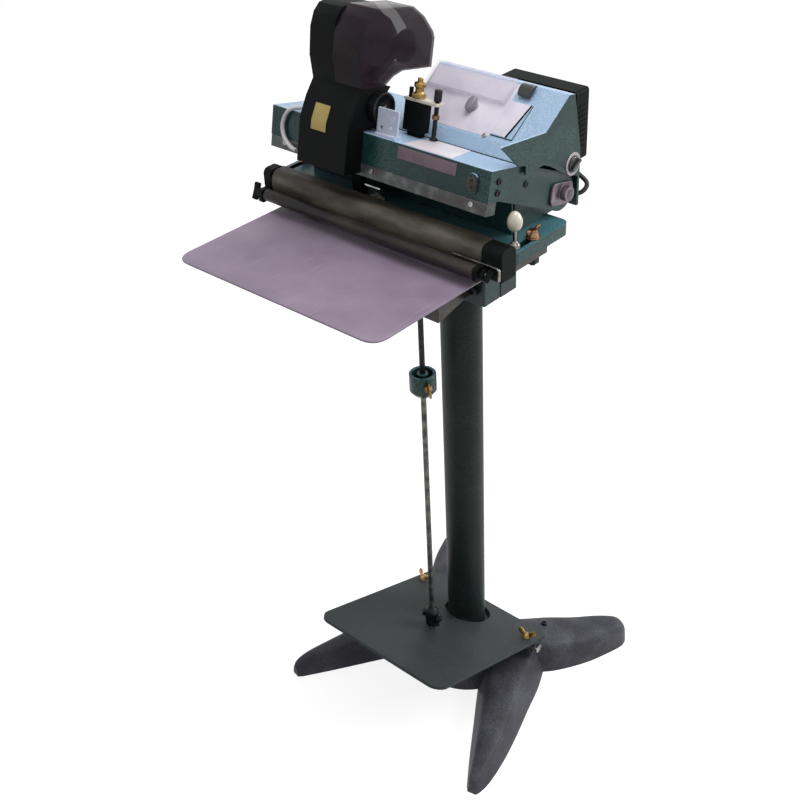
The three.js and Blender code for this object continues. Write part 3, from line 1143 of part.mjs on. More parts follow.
const arm_top = arm.top_z + seat;
const relay_top = arm_top + relay.foot + relay.height;
function makeRelay() {
  const { left_x, right_x, front_y, rear_y, foot } = relay;
  const spacer = block(left_x + foot, right_x - foot, front_y + foot / 2, rear_y, arm_top,
    arm_top + foot + overrun);
  const body = block(left_x, right_x, front_y, rear_y, arm_top + foot, relay_top);
  const lid = block(relay_lid.left_x, relay_lid.right_x, front_y - relay_lid.over,
    rear_y + relay_lid.over, relay_top,
    relay_top + relay_lid.height);
  const hole = roundZ(relay_lid.hole / 2, relay_top - overrun, relay_top + relay_lid.height + overrun,
    adjuster.x, adjuster.y, small_round_steps);
  return cut(join(spacer, body, lid), hole);
}
piece('relay_block', makeRelay(), black_plastic, arm_frame);

// Brass fitting on the relay's lid: rows of radius and height as shares of its own
const fitting_shares = [[0, 0], [1, 0], [1, 0.3], [0.62, 0.36], [0.62, 0.5], [0.85, 0.56], [0.85, 0.76],
  [0.4, 0.82], [0.4, 1], [0, 1]];
piece('brass_fitting', turned(fitting_shares.map(([r, h]) => [r * fitting.radius, h * fitting.height]),
  fitting.x,
  (relay.front_y + relay.rear_y) / 2, relay_top + relay_lid.height + seat), brass, arm_frame);

piece('adjusting_screw', join(
  roundZ(adjuster.radius, arm_top - adjuster.low, arm_top + adjuster.height, adjuster.x, adjuster.y,
    small_round_steps),
  roundZ(adjuster.flange / 2, arm_top, arm_top + adjuster.flange_height, adjuster.x, adjuster.y, hexagon),
  roundZ(adjuster.ring_radius, arm_top + adjuster.ring_z,
    arm_top + adjuster.ring_z + adjuster.ring_height, adjuster.x, adjuster.y, small_round_steps),
  roundZ(adjuster.cap_radius, arm_top + adjuster.height - adjuster.cap, arm_top + adjuster.height,
    adjuster.x, adjuster.y, small_round_steps),
), dark_steel, arm_frame);

function makeBracket() {
  const y0 = bracket.y - bracket.thickness / 2;
  const upright = block(bracket.left_x, bracket.right_x, y0, y0 + bracket.thickness / 2, arm_top,
    arm_top + bracket.height);
  const foot = block(bracket.left_x, bracket.right_x, y0 - bracket.thickness / 2,
    y0 + bracket.thickness, arm_top, arm_top + bracket.thickness / 2);
  const holes = [1, 3].map((n) => roundY(bracket.hole / 2, y0 - overrun, y0 + bracket.thickness,
    bracket.left_x + n * bracket.hole_inset, arm_top + bracket.hole_z + (n * bracket.hole) / 4,
      small_round_steps));
  const slot = block(bracket.slot_left_x, bracket.slot_right_x, y0 - overrun, y0 + bracket.thickness,
    arm_top + bracket.slot_low_z,
    arm_top + bracket.slot_top_z);
  return cut(join(upright, foot), ...holes, slot);
}
piece('coder_bracket', makeBracket(), panel_white, arm_frame);

const lead_front = arm.front_y - tube.radius - 2 * seat;
const lead_top = arm.top_z + tube.radius + 2 * seat;
// rows: distance out from the coder's left side, then Y and Z
const white_places = [[32, -148, lead_top], [35, -160, lead_top + 1], [41, lead_front - 1, lead_top - 1],
  [50, lead_front - 1, 944], [54, lead_front - 1, 930], [49, lead_front - 1, 916],
  [37, lead_front - 1, 907], [27, lead_front - 1, 905]];
piece('white_lead', tubeAlong(white_places.map(([out, y, z]) => [coder.left_x - out, y, z]),
  tube.radius, tube.sides, 28), white, arm_frame);

// Small fittings on the base plate, and the cloth clip in front of the jaw
const plate_top = plate.z + plate.thickness + seat;
const ball_z = lever.ball_low - plate_top;
piece('release_lever', turned([[0, 0], [lever.foot, 0], [lever.foot, lever.foot_shoulder],
  [lever.stem, lever.foot_height],
  [lever.stem, ball_z], ...lever_ball.map(([radius, share]) => [radius,
    ball_z + share * lever.ball_height])],
lever.x, lever.y, plate_top), cream);

piece('limit_switch', join(
  block(limit_switch.x - limit_switch.width / 2, limit_switch.x + limit_switch.width / 2,
    limit_switch.y - limit_switch.depth / 2,
    limit_switch.y + limit_switch.depth / 2, plate_top, plate_top + limit_switch.height),
  roundZ(limit_switch.button / 2, plate_top + limit_switch.height - overrun,
    plate_top + limit_switch.height + limit_switch.button_height,
    limit_switch.x, limit_switch.y, 12),
), black_plastic);

function makeStop() {
  const { y, thickness, lip, height } = stop;
  const [foot, top, bent] = [plate_top, plate_top + height, plate_top + height + lip / 2];
  return alongX(outline([[y, foot], [y, top], [y - lip, bent], [y - lip - thickness / 2,
    bent - thickness], [y - thickness, top - thickness],
    [y - thickness, foot + thickness], [y - lip, foot + thickness], [y - lip, foot]]), stop.left_x,
      stop.right_x);
}
piece('bag_stop', makeStop(), steel);

// Bright strip that ends the cloth at the right: it runs along the jaw's front and bends down at its
// end
function makeClip() {
  const { z, drop, bend, thickness } = clip;
  const [start_x, end_x] = [jaw.half_x - clip.along, jaw.half_x + clip.past];
  return alongY(outline([[start_x, z], [end_x - bend, z], [end_x, z - bend], [end_x, z - drop],
    [end_x - thickness, z - drop],
    [end_x - thickness, z - bend - thickness / 2], [end_x - bend - thickness / 2, z - thickness],
      [start_x, z - thickness]]),
  clip.y - clip.depth, clip.y);
}
piece('cloth_clip', makeClip(), steel);

sealer.updateMatrixWorld(true);
const bounds = new THREE.Box3().setFromObject(sealer, true);
sealer.position.y = -(bounds.min.y + bounds.max.y) / 2;

export default sealer;
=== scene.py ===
"""A foot pedal sealer with a hot-stamp coder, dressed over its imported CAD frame.

Sizes are millimetres from the column's axis and the floor; pieces of the arm are drawn with the arm
closed and level, and on_arm() opens them to the rest position of the frame.
"""

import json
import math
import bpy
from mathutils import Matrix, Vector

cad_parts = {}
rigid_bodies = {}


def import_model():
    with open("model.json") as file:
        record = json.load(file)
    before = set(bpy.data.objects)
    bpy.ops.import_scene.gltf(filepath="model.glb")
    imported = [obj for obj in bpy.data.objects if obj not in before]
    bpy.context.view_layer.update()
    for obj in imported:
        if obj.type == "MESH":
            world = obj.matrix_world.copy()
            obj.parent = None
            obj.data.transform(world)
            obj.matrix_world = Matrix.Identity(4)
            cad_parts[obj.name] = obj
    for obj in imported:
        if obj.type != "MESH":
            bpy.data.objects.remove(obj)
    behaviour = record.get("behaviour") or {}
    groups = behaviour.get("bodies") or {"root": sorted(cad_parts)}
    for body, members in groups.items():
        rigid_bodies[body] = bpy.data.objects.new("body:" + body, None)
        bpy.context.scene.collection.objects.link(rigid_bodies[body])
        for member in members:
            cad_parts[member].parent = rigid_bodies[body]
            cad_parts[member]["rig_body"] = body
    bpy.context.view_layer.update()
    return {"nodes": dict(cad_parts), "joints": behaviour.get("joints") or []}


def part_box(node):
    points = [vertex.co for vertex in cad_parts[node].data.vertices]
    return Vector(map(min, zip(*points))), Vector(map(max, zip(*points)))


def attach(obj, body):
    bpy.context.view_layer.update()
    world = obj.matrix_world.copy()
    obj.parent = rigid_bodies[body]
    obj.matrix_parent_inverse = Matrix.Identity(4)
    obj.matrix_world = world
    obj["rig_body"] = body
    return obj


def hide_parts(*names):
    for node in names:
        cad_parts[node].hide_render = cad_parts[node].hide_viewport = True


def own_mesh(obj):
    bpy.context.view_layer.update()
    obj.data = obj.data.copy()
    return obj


bl_info = {
    "name": "Foot Pedal Sealer",
    "version": (1, 0, 0),
    "blender": (4, 5, 0),
    "location": "View3D > Sidebar > Sealer",
    "description": "Builds the surfaces and finishes of a foot pedal sealer",
    "category": "Add Mesh",
}

import bmesh
import bpy
import numpy as np
from mathutils import Matrix, Vector

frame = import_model()
MM = 0.001
SEAT = 0.3
MERGE = 0.00001
SIDES = (("left", -1), ("right", 1))
ORIGIN = (0, 0, 0)
ARM_FRONT = -166.0
ARM_TOP = 951.5


def joint(name):
    """The frame's joint of that name."""
    return next(j for j in frame["joints"] if j["name"] == name)


def node_box(name):
    """Lowest and highest corner of a CAD node in millimetres from the column's axis."""
    low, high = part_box(name)
    return (np.array(low) - COLUMN_AXIS) / MM, (np.array(high) - COLUMN_AXIS) / MM


COLUMN_AXIS = np.array([0.0, sum(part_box("column_tube")[i].y for i in (0, 1)) / 2, 0.0])
PIVOT = np.array(joint("arm_close")["pos_m"])
HINGE = np.array(joint("pedal_press")["pos_m"])
HINGE_LINE = (HINGE - COLUMN_AXIS) / MM * (0, 1, 1)
ARM_OPEN = math.radians(joint("arm_close")["range_deg"][1])


# Places

def stand(points):
    """Points in millimetres from the column's axis, in metres of the frame."""
    return np.asarray(points, float) * MM + COLUMN_AXIS


def turned_about(points, centre, angle):
    """Points turned about the X axis through centre, front end up for a positive angle."""
    out = points - centre
    c, s = math.cos(-angle), math.sin(-angle)
    y, z = out[..., 1] * c - out[..., 2] * s, out[..., 1] * s + out[..., 2] * c
    return np.stack([out[..., 0], y, z], -1) + centre


def on_arm(points):
    """Points of the closed, level arm, opened about the pivot to the rest position."""
    return turned_about(stand(points), PIVOT, ARM_OPEN)


def on_pedal(points):
    """Points of the pedal: x across, y back from the hinge, z square to the plate."""
    tilt = math.radians(bpy.context.scene.sealer_stand.pedal_tilt)
    return turned_about(np.asarray(points, float) * MM + HINGE, HINGE, tilt)


def on_panel(points):
    """Points of the hood's inclined panel: x across, y up from its low edge, z square to it."""
    head = bpy.context.scene.sealer_head
    p = np.asarray(points, float)
    run, rise = head.panel_top_y - head.panel_low_y, head.panel_top_z - head.panel_low_z
    length = math.hypot(run, rise)
    y = head.panel_low_y + (p[..., 1] * run - p[..., 2] * rise) / length
    z = head.panel_low_z + (p[..., 1] * rise + p[..., 2] * run) / length
    return stand(np.stack([p[..., 0], y, z], -1))


# Where the pieces of each moving body are drawn; all others are drawn on the stand
PLACES = {"pedal": on_pedal, "panel_knob": on_panel, "arm": on_arm, "adjusting_screw": on_arm,
          "supply_reel": on_arm, "take_up_reel": on_arm, "knurled_wheel": on_arm}


def turned_z(grids, degrees, place):
    """Grids turned about the Z axis, then moved to their place."""
    a = math.radians(degrees)
    spin = np.array([[math.cos(a), math.sin(a), 0], [-math.sin(a), math.cos(a), 0], [0, 0, 1]])
    return [grid @ spin + place for grid in grids]


def turned_x(grids, degrees, place):
    """Grids turned about the X axis, then moved to their place."""
    return [turned_about(grid, np.zeros(3), math.radians(degrees)) + place for grid in grids]


# Surfaces

def rounded(points, radius, steps=5, closed=False):
    """A line whose corners are bent: at each corner a parabola leaves one side and meets the other."""
    p = np.asarray(points, float)
    count = len(p)
    radii = np.broadcast_to(np.asarray(radius, float), (count,))
    t = np.linspace(0, 1, steps + 1)[:, None]
    line = []
    for i in range(count):
        if not closed and i in (0, count - 1) or radii[i] <= 0:
            line.append(p[i][None])
            continue
        sides = p[i - 1] - p[i], p[(i + 1) % count] - p[i]
        lengths = [np.linalg.norm(v) for v in sides]
        a, b = (p[i] + v * (min(radii[i], 0.49 * n) / max(n, 1e-9)) for v, n in zip(sides, lengths))
        line.append((1 - t) ** 2 * a + 2 * t * (1 - t) * p[i] + t ** 2 * b)
    return np.concatenate(line)


def circle(radius, steps):
    """Points round a circle, as cosine and sine of equal steps."""
    a = np.arange(steps) / steps * 2 * np.pi
    return np.stack([radius * np.cos(a), radius * np.sin(a)], -1)


def polygon_radius(angle, sides):
    """How far a regular polygon's side lies at an angle, as a share of its half width across flats."""
    wedge = 2 * np.pi / sides
    return 1 / np.cos((angle + wedge / 2) % wedge - wedge / 2)


AXES = {"x": (1, 2, 0), "y": (0, 2, 1), "z": (0, 1, 2)}


def along(axis, across, height):
    """A flat outline laid in space: the outline square to the axis, the height along it."""
    u, v, w = AXES[axis]
    across = np.asarray(across, float)
    out = np.zeros(across.shape[:-1] + (3,))
    out[..., u], out[..., v], out[..., w] = across[..., 0], across[..., 1], height
    return out


def spun(profile, axis, centre, steps=48, sides=0, ripple=None):
    """A surface of revolution: radius and height of the profile, turned about an axis through centre.

    sides makes the section a regular polygon, and ripple(angle) is added to the radius.
    """
    profile = np.asarray(profile, float)
    angle = np.arange(steps) / steps * 2 * np.pi
    radius = profile[:, :1] * np.ones(steps)
    if sides:
        radius = radius * polygon_radius(angle, sides)
    if ripple is not None:
        radius = radius + ripple(angle)
    across = np.stack([radius * np.cos(angle), radius * np.sin(angle)], -1)
    return along(axis, across, profile[:, 1:]) + np.asarray(centre, float)


def lathed(stations, bends, axis, centre, steps=48, sides=0, ripple=None):
    """A turned form: each station is a radius, a height and how far its corner is bent.

    Where it doesn't begin or end on the axis, a flat end face is added.
    """
    (first, start, _), (last, end, _) = stations[0], stations[-1]
    table = np.array([(0, start, 0)] * (first > 0) + stations + [(0, end, 0)] * (last > 0), float)
    return spun(rounded(table[:, :2], table[:, 2], bends), axis, centre, steps, sides, ripple)


def bar(radius, start, end, edge, axis, centre, steps=48, sides=0):
    """A round or six-sided bar between two heights, with rounded rims."""
    return lathed([(radius, start, edge), (radius, end, edge)], 3, axis, centre, steps, sides)


def hoop(section, axis, centre, steps=64, ripple=None):
    """A closed section of radius and height, turned about an axis."""
    return spun(np.concatenate([section, section[:1]]), axis, centre, steps, ripple=ripple)


def drawn_in(outline, depth):
    """A closed outline moved inwards along its own normals."""
    p = np.asarray(outline, float)
    side = np.roll(p, -1, 0) - np.roll(p, 1, 0)
    normal = unit(np.stack([side[:, 1], -side[:, 0]], -1))
    area = np.sum(p[:, 0] * np.roll(p[:, 1], -1) - p[:, 1] * np.roll(p[:, 0], -1))
    return p - np.sign(area) * normal * depth


def slab(outline, axis, start, end, edge=0.6):
    """A flat outline carried along an axis, with both rims rounded: rings drawn in by an arc."""
    t = np.linspace(0, np.pi / 2, 4)
    arc = list(zip(edge * (1 - np.sin(t)), edge * (1 - np.cos(t))))
    rings = [(inset, start + rise) for inset, rise in arc]
    rings += [(inset, end - rise) for inset, rise in reversed(arc)]
    return np.stack([along(axis, drawn_in(outline, inset), height) for inset, height in rings])


def box_outline(u0, u1, v0, v1, radius=2.0, steps=5):
    """A rectangle with rounded corners."""
    return rounded([(u0, v0), (u1, v0), (u1, v1), (u0, v1)], radius, steps, closed=True)


def pierced(x0, x1, y0, y1, centre, radius, low, top, edge=0.5):
    """A flat plate with a round hole: at each angle, its section runs out to the rectangle and back."""
    corners = [math.atan2(y - centre[1], x - centre[0]) for x in (x0, x1) for y in (y0, y1)]
    angle = np.sort(np.concatenate([np.linspace(-np.pi, np.pi, 96, endpoint=False), corners]))
    way = np.stack([np.cos(angle), np.sin(angle)], -1)
    room = np.where(way > 0, (x1 - centre[0], y1 - centre[1]), (x0 - centre[0], y0 - centre[1]))
    flat = np.abs(way) < 1e-9
    reach = np.min(np.where(flat, np.inf, room / np.where(flat, 1, way)), axis=1)[:, None]
    hole, rim, side = radius * way, (reach - edge) * way, reach * way
    section = [(hole, low), (rim, low), (side, low + edge), (side, top - edge), (rim, top), (hole, top),
               (hole, low)]
    return np.stack([along("z", out + centre, z) for out, z in section])


def unit(vectors):
    """Vectors of length one along the last axis."""
    return vectors / np.maximum(np.linalg.norm(vectors, axis=-1, keepdims=True), 1e-9)


def carried(path, section):
    """A section carried along a path: at each point it is square to the line, its second axis near up."""
    ahead = unit(np.gradient(path, axis=0))
    side = unit(np.cross(ahead, (0, 0, 1)))
    rise = np.cross(side, ahead)
    return path[:, None] + section[None, :, :1] * side[:, None] + section[None, :, 1:] * rise[:, None]


def smooth_route(points, per_span=10):
    """A smooth line through points: each span is a cubic, shaped by the four points round it."""
    p = np.asarray(points, float)
    p = np.concatenate([[2 * p[0] - p[1]], p, [2 * p[-1] - p[-2]]])
    t = np.linspace(0, 1, per_span, endpoint=False)[:, None]
    spans = [0.5 * (2 * b + (c - a) * t + (2 * a - 5 * b + 4 * c - d) * t ** 2
                    + (3 * b - a - 3 * c + d) * t ** 3)
             for a, b, c, d in zip(p, p[1:], p[2:], p[3:])]
    return np.concatenate(spans + [p[-2][None]])


# Pieces

def mesh_of(name, grids, place, closed=True):
    """One mesh of several grids; a closed grid's columns wrap round and its end rows are faces."""
    points, faces = [], []
    base = 0
    for grid in grids:
        rows, cols = grid.shape[:2]
        points.append(place(grid).reshape(-1, 3))
        index = np.arange(rows * cols).reshape(rows, cols) + base
        here, beside = (index, np.roll(index, -1, 1)) if closed else (index[:, :-1], index[:, 1:])
        quads = np.stack([here[:-1], beside[:-1], beside[1:], here[1:]], -1)
        faces += quads.reshape(-1, 4).tolist()
        if closed:
            faces += [index[0][::-1].tolist(), index[-1].tolist()]
        base += rows * cols
    mesh = bpy.data.meshes.new(name)
    mesh.from_pydata(np.concatenate(points).tolist(), [], faces)
    return mesh


def add_piece(name, data, body, look, node=None, sharp=None):
    """Links a mesh or curve as a piece of the object, with its finish and body, and hides its CAD node."""
    if sharp:
        data.shade_smooth()
        data.set_sharp_from_angle(angle=math.radians(sharp))
    piece = bpy.data.objects.new(name, data)
    bpy.context.scene.collection.objects.link(piece)
    data.materials.append(finish(look))
    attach(piece, body)
    if node:
        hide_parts(node)
    return piece


def make(name, grids, look, body="stand", node=None, place=None, sharp=32):
    """A closed piece from grids in millimetres: doubles merged, no empty faces, normals outward."""
    mesh = mesh_of(name, grids, place or PLACES.get(body, stand))
    work = bmesh.new()
    work.from_mesh(mesh)
    bmesh.ops.remove_doubles(work, verts=work.verts, dist=MERGE)
    bmesh.ops.dissolve_degenerate(work, edges=work.edges, dist=MERGE)
    bmesh.ops.recalc_face_normals(work, faces=work.faces)
    work.to_mesh(mesh)
    work.free()
    return add_piece(name, mesh, body, look, node, sharp)


def eased(name, node, look, edge=0.8, segments=3, angle=28, sharp=32):
    """A copy of a CAD node with merged corners, flat faces made whole and its edges eased by a bevel."""
    source = frame["nodes"][node]
    mesh = source.data.copy()
    mesh.name = name
    mesh.materials.clear()
    work = bmesh.new()
    work.from_mesh(mesh)
    bmesh.ops.remove_doubles(work, verts=work.verts, dist=3 * MERGE)
    bmesh.ops.dissolve_limit(work, angle_limit=math.radians(1.0), verts=work.verts, edges=work.edges)
    work.to_mesh(mesh)
    work.free()
    piece = add_piece(name, mesh, source["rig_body"], look, node, sharp)
    bevel = piece.modifiers.new("eased edges", "BEVEL")
    bevel.width = edge * MM
    bevel.segments = segments
    bevel.limit_method = "ANGLE"
    bevel.angle_limit = math.radians(angle)
    bevel.use_clamp_overlap = True
    bevel.harden_normals = False
    bevel.miter_outer = "MITER_ARC"


def thicken(piece, thickness, offset):
    """Gives an open surface its thickness in millimetres."""
    wall = piece.modifiers.new("thickness", "SOLIDIFY")
    wall.thickness = thickness * MM
    wall.offset = offset


# Finishes

def linear(code):
    """An sRGB hex colour as linear red, green, blue and alpha."""
    value = [int(code[i:i + 2], 16) / 255 for i in (0, 2, 4)]
    return [v / 12.92 if v <= 0.04045 else ((v + 0.055) / 1.055) ** 2.4 for v in value] + [1.0]


class Nodes:
    """The emptied shader tree of a material or world, and the nodes put into it."""

    def __init__(self, owner):
        owner.use_nodes = True
        self.tree = owner.node_tree
        self.tree.nodes.clear()

    def feed(self, node, inputs):
        """Links an input to a socket, or sets it to a value."""
        for key, value in inputs.items():
            if isinstance(value, bpy.types.NodeSocket):
                self.tree.links.new(value, node.inputs[key])
            else:
                node.inputs[key].default_value = value

    def add(self, kind, inputs, **properties):
        """Adds a shader node with its properties and inputs."""
        made = self.tree.nodes.new("ShaderNode" + kind)
        for key, value in properties.items():
            setattr(made, key, value)
        self.feed(made, inputs)
        return made

    def calc(self, operation, first, second):
        """Two values added, multiplied or compared."""
        return self.add("Math", {0: first, 1: second}, operation=operation).outputs["Value"]

    def levels(self, source, low, high):
        """A 0 to 1 value spread between two levels."""
        return self.add("MapRange", {"Value": source, "To Min": low, "To Max": high}).outputs["Result"]

    def seen_directly(self):
        """1 for rays from the camera, off gloss and through glass, else 0."""
        rays = self.add("LightPath", {}).outputs
        through = self.calc("MAXIMUM", rays["Is Glossy Ray"], rays["Is Transmission Ray"])
        return self.calc("MAXIMUM", rays["Is Camera Ray"], through)


class Look(Nodes):
    """A material in the making: Object coordinates in metres, and a Principled shader on its output."""

    def __init__(self, name):
        self.material = bpy.data.materials.new(name)
        super().__init__(self.material)
        self.where = self.add("TexCoord", {}).outputs["Object"]
        self.shader = self.add("BsdfPrincipled", {})
        self.add("OutputMaterial", {"Surface": self.shader.outputs["BSDF"]})

    def stretched(self, *scale):
        """The coordinates scaled along each axis: a small scale draws the pattern out."""
        return self.add("Mapping", {"Vector": self.where, "Scale": scale}).outputs["Vector"]

    def clouds(self, size, detail, where=None, roughness=0.5):
        """Noise in blobs about size millimetres across."""
        inputs = {"Vector": where or self.where, "Scale": 1 / (size * MM), "Detail": detail,
                  "Roughness": roughness}
        return self.add("TexNoise", inputs).outputs["Fac"]

    def ramp(self, source, *stops):
        """A colour ramp from (place, hex colour) stops."""
        made = self.add("ValToRGB", {"Fac": source})
        band = made.color_ramp
        while len(band.elements) < len(stops):
            band.elements.new(0.5)
        for element, (place, code) in zip(band.elements, stops):
            element.position = place
            element.color = linear(code)
        return made.outputs["Color"]

    def mix(self, share, first, second, blend="MIX"):
        """Two colours mixed, or multiplied, by a share."""
        inputs = {"Factor": share, "A": first, "B": second}
        return self.add("Mix", inputs, data_type="RGBA", blend_type=blend).outputs["Result"]

    def bump(self, height, depth, strength=0.5, below=None):
        """Puts a height onto the shader's normal, with its depth in millimetres."""
        inputs = {"Height": height, "Strength": strength, "Distance": depth * MM}
        if below:
            inputs["Normal"] = below
        normal = self.add("Bump", inputs).outputs["Normal"]
        self.feed(self.shader, {"Normal": normal})
        return normal

    def coat(self, colour, roughness, specular=0.5, more=None):
        """Sets what the surface shows, and gives the finished material."""
        inputs = {"Base Color": colour, "Roughness": roughness, "Specular IOR Level": specular}
        self.feed(self.shader, inputs | (more or {}))
        return self.material


def hammered_enamel(name, deep, main, pale, level=None, cell=1.7, depth=0.06, roughness=0.30, specular=0.3):
    """Hammer-finish stoving enamel: metal flake drawn into round dimples by surface tension, so each cell
    is paler in its middle, darker along its rim, and catches its own small highlight. Faces that point up
    take the colours of level instead: a painted highlight that stands in for the light from above."""
    look = Look(name)
    drift = look.add("TexNoise", {"Vector": look.where, "Scale": 1 / (cell * 3 * MM), "Detail": 2.0})
    warp = look.add("VectorMath", {0: drift.outputs["Color"], "Scale": cell * 0.5 * MM}, operation="SCALE")
    moved = look.add("VectorMath", {0: look.where, 1: warp.outputs["Vector"]}, operation="ADD")
    inputs = {"Vector": moved.outputs["Vector"], "Scale": 1 / (cell * MM), "Smoothness": 0.6}
    cells = look.add("TexVoronoi", inputs, feature="SMOOTH_F1").outputs["Distance"]
    tone = look.calc("ADD", cells, look.clouds(60, 3.0))
    colour = look.ramp(tone, (0.55, pale), (0.85, main), (1.0, deep))
    # Painted highlight: faces that point up blend to the level colours, as if lit from above
    if level:
        facing = look.add("SeparateXYZ", {0: look.add("TexCoord", {}).outputs["Normal"]}).outputs["Z"]
        painted_light_share = look.ramp(facing, (0.5, "000000"), (0.78, "FFFFFF"))
        colour = look.mix(painted_light_share, colour, look.ramp(tone, (0.55, level[1]), (1.0, level[0])))
    look.bump(cells, depth)
    return look.coat(colour, look.levels(cells, roughness - 0.08, roughness + 0.12), specular)


def cast_enamel(name, deep, main, pale):
    """Enamelled grey iron: the sand mould's coarse grain shows through a thin, even coat."""
    look = Look(name)
    sand, swell = look.clouds(2.2, 4.0, roughness=0.6), look.clouds(45, 3.0)
    colour = look.ramp(look.calc("MULTIPLY", sand, swell), (0.12, deep), (0.27, main), (0.42, pale))
    look.bump(sand, 0.22, 0.6, look.bump(swell, 1.2, 0.35))
    return look.coat(colour, look.levels(sand, 0.42, 0.62), 0.2)


def powder_coat(name, main, pale, worn, roughness=0.45, scuffs=0.5, specular=0.3):
    """Powder coat on sheet steel: fine orange peel, with thin scuffs where work has slid over it."""
    look = Look(name)
    broad = look.clouds(90, 4.0)
    scuff = look.clouds(2.4, 5.0, look.stretched(1.0, 0.06, 1.0))
    mask = look.ramp(scuff, (0.62, "000000"), (0.70, "FFFFFF"))
    base = look.ramp(broad, (0.30, main), (0.72, pale))
    look.bump(look.clouds(1.6, 2.0), 0.05)
    colour = look.mix(look.calc("MULTIPLY", mask, scuffs * 0.35), base, linear(worn))
    return look.coat(colour, look.levels(broad, roughness - 0.06, roughness + 0.1), specular)


def worked_metal(name, main, pale, roughness, grain, stain=None, metallic=1.0):
    """Turned, drawn or milled metal: fine tool lines along one direction, and slight tarnish in patches."""
    look = Look(name)
    lines = look.clouds(12, 6.0, look.stretched(*grain))
    look.bump(lines, 0.03)
    colour = look.ramp(look.clouds(14, 4.0), (0.30, stain or main), (0.48, main), (0.70, pale))
    rough = look.levels(lines, roughness - 0.08, roughness + 0.14)
    return look.coat(colour, rough, more={"Metallic": metallic})


def moulded_plastic(name, main, pale, roughness=0.45, grain=0.8, depth=0.03, coat=0.0, specular=0.5):
    """Injection-moulded plastic: the spark-eroded mould leaves a fine leathery grain, dulled in patches."""
    look = Look(name)
    patch = look.clouds(30, 4.0)
    look.bump(look.clouds(grain, 3.0), depth)
    colour = look.ramp(patch, (0.32, main), (0.70, pale))
    rough = look.levels(patch, roughness - 0.07, roughness + 0.1)
    return look.coat(colour, rough, specular, {"Coat Weight": coat, "Coat Roughness": 0.1})


# How far apart the weave's threads are drawn in mm, and the wave's length in a wave texture of scale 1
THREAD_GAP, WAVE_LENGTH = 1.1, 0.314


def glass_cloth(name, deep, main, pale):
    """PTFE-coated glass cloth: a plain weave, drawn coarse so that it shows, under a waxy brown coat
    with darker bands where heat has stained it."""
    look = Look(name)
    inputs = {"Vector": look.where, "Scale": 1 / (THREAD_GAP * MM) * WAVE_LENGTH}
    threads = [look.add("TexWave", inputs, bands_direction=way).outputs["Fac"] for way in "XZ"]
    weave = look.calc("MULTIPLY", *threads)
    stain = look.clouds(18, 4.0, look.stretched(0.25, 1.0, 1.0))
    colour = look.ramp(stain, (0.32, deep), (0.5, main), (0.68, pale))
    look.bump(weave, 0.06)
    return look.coat(look.mix(weave, colour, linear("D8D2C8"), "MULTIPLY"), 0.42, 0.2)


def cast_acrylic(name, tint, roughness, body, density, specular=0.5):
    """Thin acrylic sheet: light goes straight through it by alpha; tint, gloss and haze show on top."""
    look = Look(name)
    haze = look.clouds(5, 4.0, look.stretched(1.0, 0.1, 1.0))
    colour = look.ramp(haze, (0.2, tint), (0.8, body))
    rough = look.levels(haze, roughness, roughness + 0.12)
    return look.coat(colour, rough, specular, {"IOR": 1.49, "Alpha": density})


